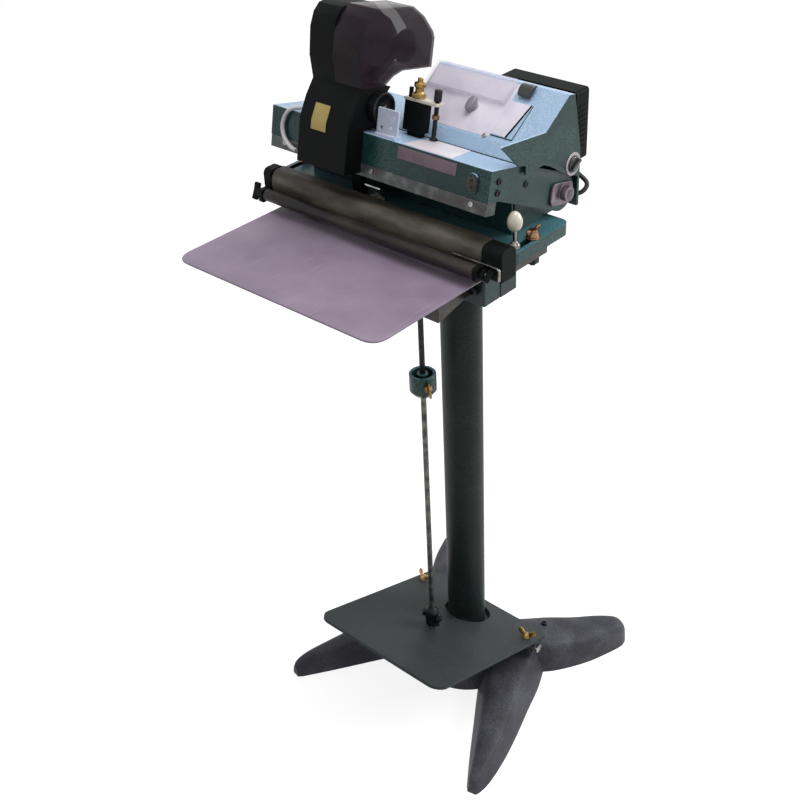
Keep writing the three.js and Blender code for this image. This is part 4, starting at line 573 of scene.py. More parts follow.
# Each finish: the record's slot that it belongs to, the material's name, then what its maker takes
FINISHES = {
    hammered_enamel: {
        # The hood enamel's last pair is a painted highlight for faces that point up
        "hood_enamel": ("teal", "teal hammer enamel", "14302F", "224946", "336361", ("A2BEDC", "D2E3F8")),
        # The bed enamel's upward pair is a weaker painted highlight: painted shade of the hood over the base
        # plate
        "bed_enamel": ("teal", "teal bed enamel", "14302F", "224946", "336361", ("386067", "5A8A93")),
        # A darker copy of the teal enamel: painted shade for the saddle under the base plate
        "saddle_shaded_enamel": ("teal", "dark teal hammer enamel", "0C2221", "153533", "234E4B"),
        "column_enamel": ("cast_grey", "grey hammer enamel", "1B2422", "232E2C", "303B39", None,
                          1.6, 0.05, 0.45, 0.15),
        "bracket_enamel": ("taupe", "taupe hammer enamel", "302C28", "4A443D", "625A51"),
    },
    cast_enamel: {
        "leg_enamel": ("cast_grey", "enamelled grey iron", "34353A", "4B4B53", "65646F"),
    },
    powder_coat: {
        "pedal_enamel": ("cast_grey", "pedal enamel", "363B3C", "444849", "62666A", 0.5, 1.0, 0.15),
        "table_enamel": ("lavender", "table enamel", "86778B", "9F90A2", "BEB1C0", 0.42, 0.6),
        "pale_bracket": ("pale_blue", "pale blue enamel", "C2CCE2", "DAE0F0", "F0F2F8", 0.4, 0.3),
    },
    worked_metal: {
        "bar_aluminium": ("aluminium", "dull bar metal", "4E5252", "70736F", 0.45, (0.03, 1, 1), "4A4240",
                          0.5),
        "jaw_aluminium": ("aluminium", "mill-finish aluminium", "8A8A90", "B0B0B6", 0.38, (0.03, 1, 1)),
        "nickel": ("bright_steel", "nickel-plated steel", "8E8C88", "B9B7B2", 0.24, (1, 1, 30), "6C6862"),
        "black_oxide": ("dark_steel", "blackened steel", "1B1D20", "33363A", 0.42, (1, 1, 8), "131416", 0.7),
        "bronzed": ("aluminium", "bronzed plate", "2E2C28", "4C463C", 0.42, (1, 1, 8), "1F1E1C", 0.5),
        "brass": ("brass", "turned brass", "8F7342", "BE9F6C", 0.34, (1, 1, 20), "5E4A2A"),
        "rod_steel": ("bright_steel", "dull drawn steel", "4C504C", "77786E", 0.40, (1, 1, 8), "343936", 0.7),
        "red_brass": ("red_brass", "coppery bolt steel", "7E5A44", "B08C6C", 0.40, (1, 1, 8), "4E382C"),
        "pink_brass": ("dark_steel", "tarnished pivot plate", "6E646A", "9A8E94", 0.42, (1, 6, 1), "4A4046",
                       0.6),
        "core_iron": ("transformer_iron", "varnished core iron", "241C18", "3A302A", 0.5, (30, 1, 1),
                      "1C1512", 0.3),
        "foil": ("black_plastic", "coding foil", "4E424A", "74666E", 0.5, (1, 20, 1), "3A3038", 0.2),
    },
    moulded_plastic: {
        "silicone": ("silicone", "silicone rubber", "9C4434", "B25A48", 0.6, 0.6, 0.01),
        "abs_black": ("black_plastic", "black ABS", "0A0C0C", "131616", 0.5, 0.7, 0.03, 0.0, 0.07),
        "coder_black": ("coder_black", "coder casing ABS", "0A0E0E", "151516", 0.5, 0.9, 0.03, 0.0, 0.07),
        "gloss_black": ("black_plastic", "phenolic knob", "0B0B0D", "17171A", 0.22, 1.2, 0.01, 0.4),
        "grey_knob": ("black_plastic", "grey phenolic knob", "78727C", "938C98", 0.35, 1.2, 0.01, 0.2),
        "cream": ("cream_plastic", "cream urea resin", "CFC6B4", "E4DCCB", 0.28, 2.0, 0.01, 0.5),
        "panel_film": ("white_sleeve", "panel film", "DAD3E4", "EFEAF4", 0.32, 1.4, 0.01, 0.3),
        "white_pvc": ("white_sleeve", "white PVC sleeve", "DEDCDC", "F2F0F0", 0.4, 0.8, 0.01),
        "black_pvc": ("cable_rubber", "black PVC sheath", "16161A", "26262B", 0.5, 0.8, 0.02),
        "yellow_film": ("cream_plastic", "yellow film", "A68F42", "BFA65A", 0.4, 1.0, 0.01, 0.2),
        "pink_film": ("white_sleeve", "dull pink film", "6E5A64", "8C7680", 0.45, 1.0, 0.01),
        "ring_film": ("white_sleeve", "dial ring film", "A89EA4", "CDC4C8", 0.35, 1.0, 0.01, 0.2),
        "white_film": ("white_sleeve", "white film", "E2D8DE", "F4ECF0", 0.35, 1.0, 0.01, 0.2),
    },
    glass_cloth: {
        "ptfe": ("release_cloth", "PTFE glass cloth", "3A3732", "57534A", "7A746A"),
        # A darker copy of the PTFE cloth: painted shade for the roll, which faces front and down under the
        # jaw
        "rolled_ptfe": ("release_cloth", "rolled PTFE glass cloth", "1F1E1D", "302D2C", "46403E"),
    },
    cast_acrylic: {
        "clear_acrylic": ("clear_acrylic", "clear acrylic", "F6F2FA", 0.04, "E8E2F0", 0.22),
        "smoky_acrylic": ("smoky_acrylic", "smoky acrylic", "241A22", 0.10, "34282F", 0.66, 0.15),
    },
}
MAKERS = {key: maker for maker, rows in FINISHES.items() for key in rows}
MADE = {}


def finish(key):
    """The finish of that name, made once when it is first asked for."""
    if key not in MADE:
        maker = MAKERS[key]
        MADE[key] = maker(*FINISHES[maker][key][1:])
    return MADE[key]


# Settings

def size(name, text, default):
    """A setting: a length, an angle or a light's strength."""
    return bpy.props.FloatProperty(name=name, description=text, default=default)


class StandSettings(bpy.types.PropertyGroup):
    """Sizes of the base, column, pedal and rod."""

    pedal_tilt: size("Pedal tilt", "Pedal plate's slope at rest, in degrees", 19.6)
    column_radius: size("Column radius", "Outer radius in mm", 30.25)
    leg_wall: size("Leg wall", "Thickness of the hollow legs in mm", 7.0)
    rod_radius: size("Rod radius", "Radius of the pull rod in mm", 4.0)
    rod_y: size("Rod place", "Rod's distance from the column axis in mm", -86.0)
    spring_turns: bpy.props.IntProperty(name="Spring turns", description="Turns of the spring", default=10)


class HeadSettings(bpy.types.PropertyGroup):
    """Sizes of the head, its jaw and its panel."""

    panel_low_y: size("Panel low Y", "Low edge of the inclined panel in mm", -83.0)
    panel_low_z: size("Panel low Z", "Low edge's height in mm", 982.0)
    panel_top_y: size("Panel top Y", "Ridge of the panel in mm", -14.0)
    panel_top_z: size("Panel top Z", "Ridge's height in mm", 1029.5)
    jaw_half: size("Jaw half length", "Half the jaw's length in mm", 175.0)
    arm_half: size("Arm half width", "Half the arm's width in mm", 176.4)
    arm_front_y: size("Arm front", "Front face of the closed arm in mm", ARM_FRONT)
    arm_top_z: size("Arm top", "Top face of the closed arm in mm", ARM_TOP)


class StageSettings(bpy.types.PropertyGroup):
    """Camera, lights and floor."""

    lens: size("Lens", "Focal length in mm on a 36 mm sensor", 55.95)
    camera: bpy.props.FloatVectorProperty(name="Camera", description="Place in mm from the column's axis",
                                          size=3, default=(971.65, -1161.41, 1553.12))
    yaw: size("Yaw", "Camera azimuth in degrees", 43.41)
    pitch: size("Pitch", "Camera elevation in degrees", 34.21)
    roll: size("Roll", "Camera roll in degrees", -3.03)
    key: size("Key light", "Power of the overhead light in watts", 40.0)
    side: size("Side light", "Power of the light at the right in watts", 24.0)
    fill: size("Fill light", "Power of the fill light in watts", 1.6)
    front: size("Front light", "Power of the light at the front in watts", 4.0)
    sky: size("Sky", "Strength of the surrounding light", 0.36)
    floor: size("Floor", "Brightness of the floor's paint", 0.45)
    glow: size("Floor glow", "Strength of the floor's own light, as the camera sees it", 0.82)


# Operators

def add_camera(scene, stage):
    """The camera's axes: right, up and back from yaw and pitch, then turned by the roll."""
    a, e, r = (math.radians(v) for v in (stage.yaw, stage.pitch, stage.roll))
    back = Vector((math.sin(a) * math.cos(e), -math.cos(a) * math.cos(e), math.sin(e)))
    right = Vector((math.cos(a), math.sin(a), 0))
    up = back.cross(right)
    turned = (math.cos(r) * right + math.sin(r) * up, -math.sin(r) * right + math.cos(r) * up, back)
    data = bpy.data.cameras.new("camera")
    data.lens = stage.lens
    data.sensor_width = 36
    data.clip_start, data.clip_end = 0.05, 50
    camera = bpy.data.objects.new("camera", data)
    scene.collection.objects.link(camera)
    camera.matrix_world = Matrix.Translation(stand(stage.camera)) @ Matrix(turned).transposed().to_4x4()
    scene.camera = camera


def add_lamps(scene, stage):
    """Soft boxes that look at the object's middle: a wide key overhead, weak ones round it."""
    aim = Vector(stand((0, 0, 700)))
    for name, place, width, power in (
        ("key", (550, 250, 3300), 2.0, stage.key), ("fill", (-1700, -1500, 1500), 1.8, stage.fill),
        ("side", (1500, 1500, 1500), 1.0, stage.side), ("front", (1300, -900, 2400), 1.4, stage.front),
    ):
        data = bpy.data.lights.new(name, "AREA")
        data.shape, data.size, data.energy = "DISK", width, power
        lamp = bpy.data.objects.new(name, data)
        scene.collection.objects.link(lamp)
        lamp.location = stand(place)
        lamp.rotation_euler = (aim - lamp.location).to_track_quat("-Z", "Y").to_euler()


def add_sky(scene, stage):
    """Grey light all round, seen as white by the camera, in gloss and through glass."""
    world = bpy.data.worlds.new("studio")
    nodes = Nodes(world)
    strength = nodes.levels(nodes.seen_directly(), stage.sky, 1.0)
    light = nodes.add("Background", {"Strength": strength, "Color": (1, 1, 1, 1)})
    nodes.add("OutputWorld", {"Surface": light.outputs["Background"]})
    scene.world = world


def add_floor(scene, stage):
    """A wide pale floor whose own glow, for camera rays only, brings it up to white beside the shadow."""
    reach = 9000
    corners = [[(-reach, y, 0), (reach, y, 0)] for y in (-reach, reach)]
    mesh = mesh_of("floor", [np.array(corners, float)], stand, closed=False)
    floor = bpy.data.objects.new("floor", mesh)
    scene.collection.objects.link(floor)
    material = bpy.data.materials.new("studio floor")
    nodes = Nodes(material)
    paint = nodes.add("BsdfDiffuse", {"Color": (stage.floor, stage.floor, stage.floor, 1)})
    glow = nodes.calc("MULTIPLY", nodes.seen_directly(), stage.glow)
    light = nodes.add("Emission", {"Strength": glow, "Color": (1, 1, 1, 1)})
    both = nodes.add("AddShader", {0: paint.outputs["BSDF"], 1: light.outputs["Emission"]})
    nodes.add("OutputMaterial", {"Surface": both.outputs["Shader"]})
    mesh.materials.append(material)


class Stage(bpy.types.Operator):
    """Adds the camera of the photograph, soft studio lamps, the surrounding light and a pale floor"""

    bl_idname = "sealer.stage"
    bl_label = "Stage"

    def execute(self, context):
        stage = context.scene.sealer_stage
        add_camera(context.scene, stage)
        add_lamps(context.scene, stage)
        add_sky(context.scene, stage)
        add_floor(context.scene, stage)
        context.scene.view_settings.view_transform = "Standard"
        return {"FINISHED"}


# The leads' radii, their gap from the faces that they lie on, and their routes; the cable leaves the
# box behind the housing at the middle of its depth
HOUSING_BACK, BOX_DEPTH = 12, 25.5
WHITE_RADIUS, CABLE_RADIUS, LEAD_GAP = 2.6, 3.0, 0.6
LEAD_FRONT, LEAD_TOP = ARM_FRONT - WHITE_RADIUS - LEAD_GAP, ARM_TOP + WHITE_RADIUS + LEAD_GAP
LEAD_Y = HOUSING_BACK + SEAT + BOX_DEPTH / 2
WHITE_LEAD = [(-131, -148, LEAD_TOP), (-134, -160, LEAD_TOP + 1), (-140, LEAD_FRONT - 1, LEAD_TOP - 1),
              (-149, LEAD_FRONT - 1, 944), (-153, LEAD_FRONT - 1, 930), (-148, LEAD_FRONT - 1, 916),
              (-136, LEAD_FRONT - 1, 907), (-126, LEAD_FRONT - 1, 905)]
REAR_LEAD = [(150, LEAD_Y, 932.4), (150, LEAD_Y, 924), (166, LEAD_Y + 8, 910), (180, LEAD_Y + 6, 902),
             (178, LEAD_Y - 2, 893), (166, LEAD_Y - 6, 890), (154, 21, 892), (154, 12.6, 892)]


def lead(name, node, body, place, route, radius, look):
    """A free lead along its route: a curve with a round section, its ends seated where they enter."""
    line = place(smooth_route(route, 4))
    curve = bpy.data.curves.new(name, "CURVE")
    curve.dimensions = "3D"
    curve.bevel_depth = radius * MM
    curve.bevel_resolution = 5
    curve.use_fill_caps = True
    spline = curve.splines.new("POLY")
    spline.points.add(len(line) - 1)
    spline.points.foreach_set("co", np.concatenate([line, np.ones((len(line), 1))], 1).ravel())
    piece = add_piece(name, curve, body, look, node)


class Cords(bpy.types.Operator):
    """Adds the white lead on the arm and the cable from the box at the back"""

    bl_idname = "sealer.cords"
    bl_label = "Cords"

    def execute(self, context):
        lead("head_lead", "white_lead", "arm", on_arm, WHITE_LEAD, WHITE_RADIUS, "white_pvc")
        lead("back_lead", "rear_cable", "stand", stand, REAR_LEAD, CABLE_RADIUS, "black_pvc")
        return {"FINISHED"}


# Stations of the legs: x, y, half width at the foot and near the top, and height
FRONT_LEG = [(60, 50, 58, 40, 50), (94, -6, 51, 34, 47), (119, -57, 43, 27, 44), (142, -104, 36, 22, 40),
             (164, -152, 28, 16.5, 35), (181, -193, 18.9, 12, 31), (188, -215, 12, 8, 26),
             (190, -224, 7, 4, 18)]
REAR_LEG = [(40, 10, 56, 40, 70), (72, 52, 46, 30, 62), (106, 88, 46, 36, 53), (136, 123, 39, 32, 49),
            (159, 156, 30, 25, 48), (176, 181, 21, 17, 45), (182, 191, 14, 11, 38), (184.5, 195.5, 8, 5, 26)]


def arch(foot, top, height):
    """A leg's section: up one flank, over the rounded top and down the other."""
    half = [(foot, 0), (foot * 0.97, 0.12 * height), ((foot + 2 * top) / 3, 0.62 * height),
            (top * 0.98, 0.88 * height), (0.6 * top, 0.985 * height), (0, height)]
    return rounded(half + [(-w, z) for w, z in half[-2::-1]], [0, 3] + [top * 0.35] * 7 + [3, 0], 4)


def leg_surface(stations, wall):
    """A hollow leg: at each station the section runs over the outside, then back inside at the wall's
    thickness; the stations are joined by smooth lines, and the tip is solid."""
    table = smooth_route(stations, 8)
    ahead = np.gradient(table[:, :2], axis=0)
    heading = np.arctan2(ahead[:, 1], ahead[:, 0])
    rings = []
    for place, ((x, y, foot, top, height), angle) in enumerate(zip(table, heading)):
        open_share = min(max((0.62 * len(table) - place) / 10, 0), 1)
        inner = arch(max(foot - wall, 0.6), max(top - wall, 0.5), max((height - wall) * open_share, 0.3))
        ring = np.concatenate([arch(foot, top, height), inner[::-1]])
        rings.append(along("z", ring[:, :1] * (math.sin(angle), -math.cos(angle)) + (x, y), ring[:, 1]))
    return np.stack(rings)


class Base(bpy.types.Operator):
    """Adds the cast base: hub, four hollow legs, spigot and hinge bosses"""

    bl_idname = "sealer.base"
    bl_label = "Cast base"

    def execute(self, context):
        wall = context.scene.sealer_stand.leg_wall
        hub = rounded([(81, 0), (88, 0), (81, 43), (57, 66), (50, 72), (0, 72)], [0, 2, 14, 10, 3, 0], 6)
        under = rounded([(81, 0), (74, 40), (50, 65), (0, 65)], [0, 8, 8, 0], 4)
        spigot_top = node_box("base_casting")[1][2]
        grids = [spun(np.concatenate([under[::-1], hub]), "z", ORIGIN, 96),
                 bar(26.8, 60, spigot_top, 1.5, "z", ORIGIN, 64)]
        grids += [leg_surface(leg, wall) * (side, 1, 1) for leg in (FRONT_LEG, REAR_LEG) for side in (1, -1)]
        grids += [bar(12, side * 40, side * 92, 1.5, "x", HINGE_LINE, 40) for side in (-1, 1)]
        make("cast_base", grids, "leg_enamel", node="base_casting", sharp=50)
        plug = [(4.6, 50, 0), (4.6, 57.6, 0.6), (3.8, 58.4, 0.5), (2.2, 58.4, 0.2), (2.2, 55, 0.2)]
        make("leg_screws", [lathed(plug, 3, "z", (side * 94, 90, 0), 32) for side in (-1, 1)], "black_oxide")
        return {"FINISHED"}


class Column(bpy.types.Operator):
    """Adds the column tube and the bolt through its foot"""

    bl_idname = "sealer.column"
    bl_label = "Column"

    def execute(self, context):
        radius = context.scene.sealer_stand.column_radius
        low, top = (corner[2] for corner in node_box("column_tube"))
        bore = radius - 3
        wall = [(bore, low), (radius - 0.6, low), (radius, low + 0.6), (radius, top), (bore, top)]
        make("column", [hoop(wall, "z", ORIGIN, 96)], "column_enamel", node="column_tube")
        low, high = node_box("column_bolt")
        centre = (0, 0, (low[2] + high[2]) / 2)
        head = [(6.4, radius + 0.6, 0.3), (6.4, high[1] - 1, 0.5), (5.2, high[1], 0.5)]
        grids = [lathed(head, 3, "y", centre, 48, 6), bar(9.5, radius + 0.2, radius + 1.9, 0.4, "y", centre),
                 bar(4, low[1], radius + 1, 0.3, "y", centre, 32)]
        make("column_bolt_head", grids, "red_brass", node="column_bolt")
        return {"FINISHED"}


def wing_ears(span, low, high, thickness):
    """Both ears of a wing nut: a band from the hub out and up, rounded at its tips."""
    rise, tip, half = high - low, span / 2, thickness / 2
    line = [(2, low), (tip, low + rise * 0.45), (tip, high), (span * 0.30, high), (2, low + rise * 0.5)]
    ear = rounded(line, [0.5, 4, 3.5, 4, 1], 5, closed=True)
    return [slab(ear * (side, 1), "y", -half, half, thickness * 0.35) for side in (-1, 1)]


def wing_nut(x, y, z, foot, turn):
    """A wing nut on its stud, turned about the stud in degrees: hub, ears, stud and its six-sided head."""
    hub = lathed([(6.4, 0, 0.4), (6.0, 2, 1), (4.6, 8, 1)], 4, "z", ORIGIN, 32)
    grids = turned_z([hub] + wing_ears(30, 1.5, 15, 2.6), turn, (x, y, z + SEAT))
    return grids + [bar(2.9, foot, z + 9.5, 0.5, "z", (x, y, 0), 24),
                    bar(5.6, foot, foot + 4.7, 0.6, "z", (x, y, 0), 36, 6)]


class Pedal(bpy.types.Operator):
    """Adds the pedal plate, its straps, wing nuts and hinge shaft"""

    bl_idname = "sealer.pedal"
    bl_label = "Pedal"

    def execute(self, context):
        eased("pedal_sheet", "pedal_plate", "pedal_enamel", 1.3, 3)
        eased("pedal_straps", "pedal_yoke", "leg_enamel", 0.8, 2)
        for word, side in SIDES:
            nut = wing_nut(side * 110, -26, 21.7, 6.4, 15 * side)
            make(f"wing_nut_{word}", nut, "brass", "pedal", f"pedal_wing_nut_{word}")
        grids = [bar(6, -124.9, 124.9, 0.8, "x", HINGE_LINE, 40)]
        grids += [bar(7.3, side * 124, side * 125, 0.3, "x", HINGE_LINE, 40) for side in (-1, 1)]
        make("hinge_shaft", grids, "nickel", "pedal_shaft", "pedal_shaft")
        return {"FINISHED"}


def lower_rod(radius, rod):
    """The lower rod with its nut, and the clevis with its pin and two nuts."""
    low, high = node_box("pull_rod_lower")
    nut = [(8.2, 103, 0.5), (8.9, 104, 0.5), (8.9, 114, 0.5), (8.2, 115, 0.5)]
    grids = [bar(radius, low[2], high[2], 0.8, "z", rod, 32), lathed(nut, 3, "z", rod, 48, 6)]
    make("lower_rod", grids, "rod_steel", "pull_rod", "pull_rod_lower")
    clevis = [(8, 131, 1), (11, 135, 1.5), (11, 160, 4), (6, 168, 3)]
    pin = np.add(rod, (0, 0, 149.5))
    grids = [lathed(clevis, 4, "z", rod), bar(4, -18, 18, 0.7, "x", pin, 32)]
    grids += [bar(6.2, start, start + 4.2, 0.7, "x", pin, 36, 6) for start in (11.4, -15.6)]
    make("rod_clevis", grids, "black_oxide", "pull_rod")


def upper_rod(radius, rod):
    """The upper rod with its spring collar, and a fork of two cheeks on a foot with its pin."""
    low, high = node_box("pull_rod_upper")
    foot, y0, y1 = 897.5, rod[1] - 7, rod[1] + 7
    cheek = box_outline(y0, y1, foot, high[2], 3)
    grids = [bar(radius, low[2], foot + 1, 0.8, "z", rod, 32), bar(13, 831, 838, 0.8, "z", rod),
             slab(cheek, "x", 3.4, 8), slab(cheek, "x", -8, -3.4),
             slab(box_outline(y0, y1, foot, foot + 3.4, 1), "x", -8, 8),
             bar(3, -8, 8, 0.5, "x", np.add(rod, (0, 0, high[2] - 7.1)), 32)]
    make("upper_rod", grids, "black_oxide", "pull_rod", "pull_rod_upper")


def coupling(rod):
    """The drum is a cup with a rim and a boss; its wing screw reaches in square to the rod."""
    low, top = (corner[2] for corner in node_box("rod_coupling"))
    drum = [(4.3, low), (13.5, low), (19.2, low + 7), (19.2, top - 0.8), (18.4, top), (15.3, top),
            (14.5, top - 0.8), (14.5, low + 9), (8.2, low + 7), (8, top - 0.6), (7.4, top), (4.3, top)]
    make("coupling_drum", [hoop(drum, "z", rod)], "bed_enamel", "pull_rod", "rod_coupling")
    half = [(22, -4), (27, -11), (34.3, -11), (34.8, -5), (30, 0)]
    ear = rounded(half + [(x, -z) for x, z in half[-2::-1]], [1, 3, 3, 3, 3, 3, 3, 3, 1], 4, closed=True)
    grids = [bar(2.5, 4.6, 27, 0.3, "x", ORIGIN, 24), bar(5.5, 19.6, 26.3, 0.6, "x", ORIGIN, 32),
             slab(ear, "y", -1.4, 1.4, 0.5)]
    place = np.add(rod, (0, 0, low + (top - low) * 0.62))
    make("coupling_screw", turned_z(grids, -30, place), "brass", "pull_rod", "coupling_wing_screw")


def return_spring(turns, rod):
    """A helix: the centreline turns evenly and climbs evenly."""
    low, top = (corner[2] for corner in node_box("return_spring"))
    wire, radius, steps = 1.2, 10.4, 28
    t = np.linspace(0, 1, turns * steps + 1)
    angle = t * turns * 2 * np.pi
    z = low + wire + (top - low - 2 * wire) * t
    line = along("z", radius * np.stack([np.cos(angle), np.sin(angle)], -1), z) + rod
    grids = [carried(line, circle(wire, 10))]
    spring = make("coil_spring", grids, "rod_steel", node="return_spring", sharp=80)
    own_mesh(spring)


class PullRod(bpy.types.Operator):
    """Adds both lengths of the pull rod, the coupling between them, its screw, the spring and its guide"""

    bl_idname = "sealer.pull_rod"
    bl_label = "Pull rod"

    def execute(self, context):
        sizes = context.scene.sealer_stand
        radius, rod = sizes.rod_radius, (0, sizes.rod_y, 0)
        lower_rod(radius, rod)
        upper_rod(radius, rod)
        coupling(rod)
        return_spring(sizes.spring_turns, rod)
        eased("guide_channel", "guide_bracket", "bracket_enamel", 0.9, 3)
        return {"FINISHED"}


def wing_bolt(word, side):
    """Washer, collar, hub and a pair of ears along Y; below them the stud with its nut."""
    foot = node_box(f"table_wing_bolt_{word}")[0][2]
    axis, top = (side * 190, -93, 0), 881.0
    ears = [ear[..., [1, 0, 2]] for ear in wing_ears(26, 1, 9.5, 3.4)]
    hub = lathed([(7, 0, 0.4), (6.4, 2, 1), (5.2, 7, 1)], 4, "z", ORIGIN, 32)
    grids = [grid + axis + (0, 0, top + 4) for grid in ears + [hub]]
    grids += [bar(9, top + SEAT, top + SEAT + 2, 0.5, "z", axis, 40),
              bar(7.6, top + 2, top + 4.2, 0.5, "z", axis, 40)]
    make(f"wing_bolt_{word}", grids, "red_brass", node=f"table_wing_bolt_{word}")
    below = [bar(3.7, foot, top + 4, 0.6, "z", axis, 28),
             bar(6.9, foot + 3, foot + 11.6, 0.7, "z", axis, 36, 6)]
    make(f"wing_bolt_stud_{word}", below, "black_oxide")


class Carrier(bpy.types.Operator):
    """Adds the saddle, the base plate with its wing bolts, and the table on its frame"""

    bl_idname = "sealer.carrier"
    bl_label = "Carrier and table"

    def execute(self, context):
        # The saddle halves take the teal enamel darkened as painted shade
        eased("saddle_front_half", "saddle_front", "saddle_shaded_enamel", 2.5, 4)
        eased("saddle_rear_half", "saddle_rear", "saddle_shaded_enamel", 1.2, 3)
        # The base plate's enamel has a dimmed painted highlight on top, as painted shade under the hood
        eased("bed_plate", "base_plate", "bed_enamel", 1.6, 3)
        eased("table_rails", "table_frame", "bracket_enamel", 0.8, 2)
        low, high = node_box("work_table")
        outline = box_outline(low[0], high[0], low[1], high[1], [24, 24, 6, 6], 10)
        make("table_sheet", [slab(outline, "z", low[2], high[2], 1.3)], "table_enamel", node="work_table")
        for word, side in SIDES:
            wing_bolt(word, side)
        head = [(7.5, -35, 0.4), (7.5, -41.5, 1), (3.2, -42, 0.3), (3.2, -38, 0.3)]
        heads = [lathed(head, 3, "y", (x, 0, z), 36) for x in (-53, 53) for z in (738, 790)]
        make("saddle_screws", heads, "black_oxide")
        return {"FINISHED"}


def release_cloth(half):
    """The cloth's line goes from behind the strip, over the bar's round front and down to the roller;
    across the bar it ripples in soft waves that fade towards its held edges, with one tuck."""
    low, high = node_box("ptfe_cloth")
    top, front = high[2] - 0.6, low[1] + 0.6
    line = rounded([(high[1] - 0.6, top), (front, top), (front, low[2] + 0.4)], [0, 17, 0], 22)
    length = np.concatenate([[0], np.cumsum(np.linalg.norm(np.diff(line, axis=0), axis=1))])
    even = np.linspace(0, length[-1], 46)
    line = np.stack([np.interp(even, length, line[:, i]) for i in (0, 1)], -1)
    v = np.linspace(0, 1, len(line))[None, :]
    x = np.linspace(-half + 0.4, half - 0.4, 220)[:, None]
    # Depth and length of each wave, its lean across the cloth and where it starts
    waves = ((0.28, 23, 2, 0), (0.2, 9.3, -3.1, 1), (0.12, 4.1, 5, 0))
    wave = sum(depth * np.sin(x / long + lean * v + start) for depth, long, lean, start in waves)
    tuck = -0.5 * np.exp(-((x + 6) / 1.6) ** 2) * np.clip((v - 0.45) / 0.1, 0, 1)
    ahead = unit(np.gradient(line, axis=0))
    outward = np.stack([-ahead[:, 1], ahead[:, 0]], -1) * -np.sign(ahead[0, 0])
    shift = (wave * np.sin(np.pi * v) ** 0.7 * 0.45 + tuck)[..., None] * outward
    grid = np.concatenate([np.broadcast_to(x[..., None], shift.shape[:2] + (1,)), line + shift], -1)
    mesh = mesh_of("release_cloth", [grid], stand, closed=False)
    piece = add_piece("release_cloth", mesh, "stand", "ptfe", "ptfe_cloth", sharp=60)
    thicken(piece, 0.3, 0)


def cloth_roller():
    """The spare cloth wound on its core: a slightly uneven roll between two bare core ends."""
    low, high = node_box("cloth_roller")
    centre = (low + high) / 2 * (0, 1, 1)
    x = np.linspace(-174.5, 174.5, 60)
    radius = 7.9 + 0.18 * np.sin(x / 31) + 0.1 * np.sin(x / 11 + 1)
    roll = np.concatenate([[(0, x[0])], np.stack([radius, x], -1), [(0, x[-1])]])
    # The roll takes the darker copy of the cloth finish: painted shade
    make("cloth_roll", [spun(roll, "x", centre)], "rolled_ptfe", "cloth_roller", "cloth_roller")
    make("roller_core", [bar(2.9, low[0], high[0], 0.5, "x", centre, 32)], "nickel", "cloth_roller")


def roller_knob(word, side):
    """Wing knob: a ribbed hub and a waisted bar across it."""
    low, high = node_box(f"roller_knob_{word}")
    near, far = (low[0], high[0])[::side]
    step = far - side * 9
    hub = rounded([(3.3, near), (6.0, near), (6.0, step), (3.3, step)], [0.3, 0.6, 0.6, 0.3], 3)
    half, turn = {"left": (11.5, 67), "right": (8.5, 25)}[word]
    edge = [(-half, -2.9), (-3, -2.3), (3, -2.3), (half, -2.9)]
    wing = rounded(edge + [(-y, -z) for y, z in edge], 2.4, 5, closed=True)
    grids = [hoop(hub, "x", ORIGIN, ripple=lambda a: 0.2 * np.cos(16 * a)),
             slab(wing, "x", min(step, far), max(step, far), 1.4)]
    grids = turned_x(grids, -turn, (0, -181, (low[2] + high[2]) / 2))
    make(f"wing_knob_{word}", grids, "abs_black", "cloth_roller", f"roller_knob_{word}")


class Jaw(bpy.types.Operator):
    """Adds the lower jaw: bar, silicone strip, release cloth, roller, end caps and knobs"""

    bl_idname = "sealer.jaw"
    bl_label = "Lower jaw"

    def execute(self, context):
        eased("jaw_profile", "jaw_bar", "jaw_aluminium", 0.8, 2)
        low, high = node_box("silicone_strip")
        strip = slab(box_outline(low[1], high[1], low[2], high[2], 1.2), "x", low[0], high[0], 0.3)
        make("silicone_bead", [strip], "silicone", node="silicone_strip")
        release_cloth(context.scene.sealer_head.jaw_half)
        cloth_roller()
        for word, side in SIDES:
            eased(f"end_cap_{word}", f"jaw_cap_{word}", "abs_black", 1.8, 4)
            roller_knob(word, side)
        eased("clip_strip", "cloth_clip", "nickel", 0.3, 2)
        return {"FINISHED"}


def socket_screws(places, axis, direction, radius, height):
    """Socket-head screws, their heads towards direction: a rounded rim round a well."""
    well, floor = radius * 0.5, height * 0.4
    profile = [(radius, 0, 0.2), (radius, height, 0.7), (well, height, 0.2), (well, floor, 0.2)]
    flip = np.where(np.arange(3) == AXES[axis][2], direction, 1)
    return [lathed(profile, 3, axis, ORIGIN, 36) * flip + place for place in places]


def arm_screws(front, half):
    """Screws in the bar's face and in both side plates."""
    heads = socket_screws([(x, front, 908.5) for x in (-150, -0.8, 153.7)], "y", -1, 3.2, 1.8)
    make("bar_screws", heads, "nickel", "arm")
    sides, caps = [], []
    cap = lathed([(9.3, 0, 0.4), (9.3, 6, 2), (7, 9, 2)], 5, "x", ORIGIN)
    for side in (-1, 1):
        places = [(side * half, y, z) for y, z in ((-150, 938), (-150, 925), (-96, 928))]
        sides += socket_screws(places, "x", side, 4.2, 1.6)
        caps.append(cap * (side, 1, 1) + (side * (half + 3.5), -18, 908))
    make("cheek_screws", sides, "black_oxide", "arm")
    make("shaft_caps", caps, "gloss_black", "arm")


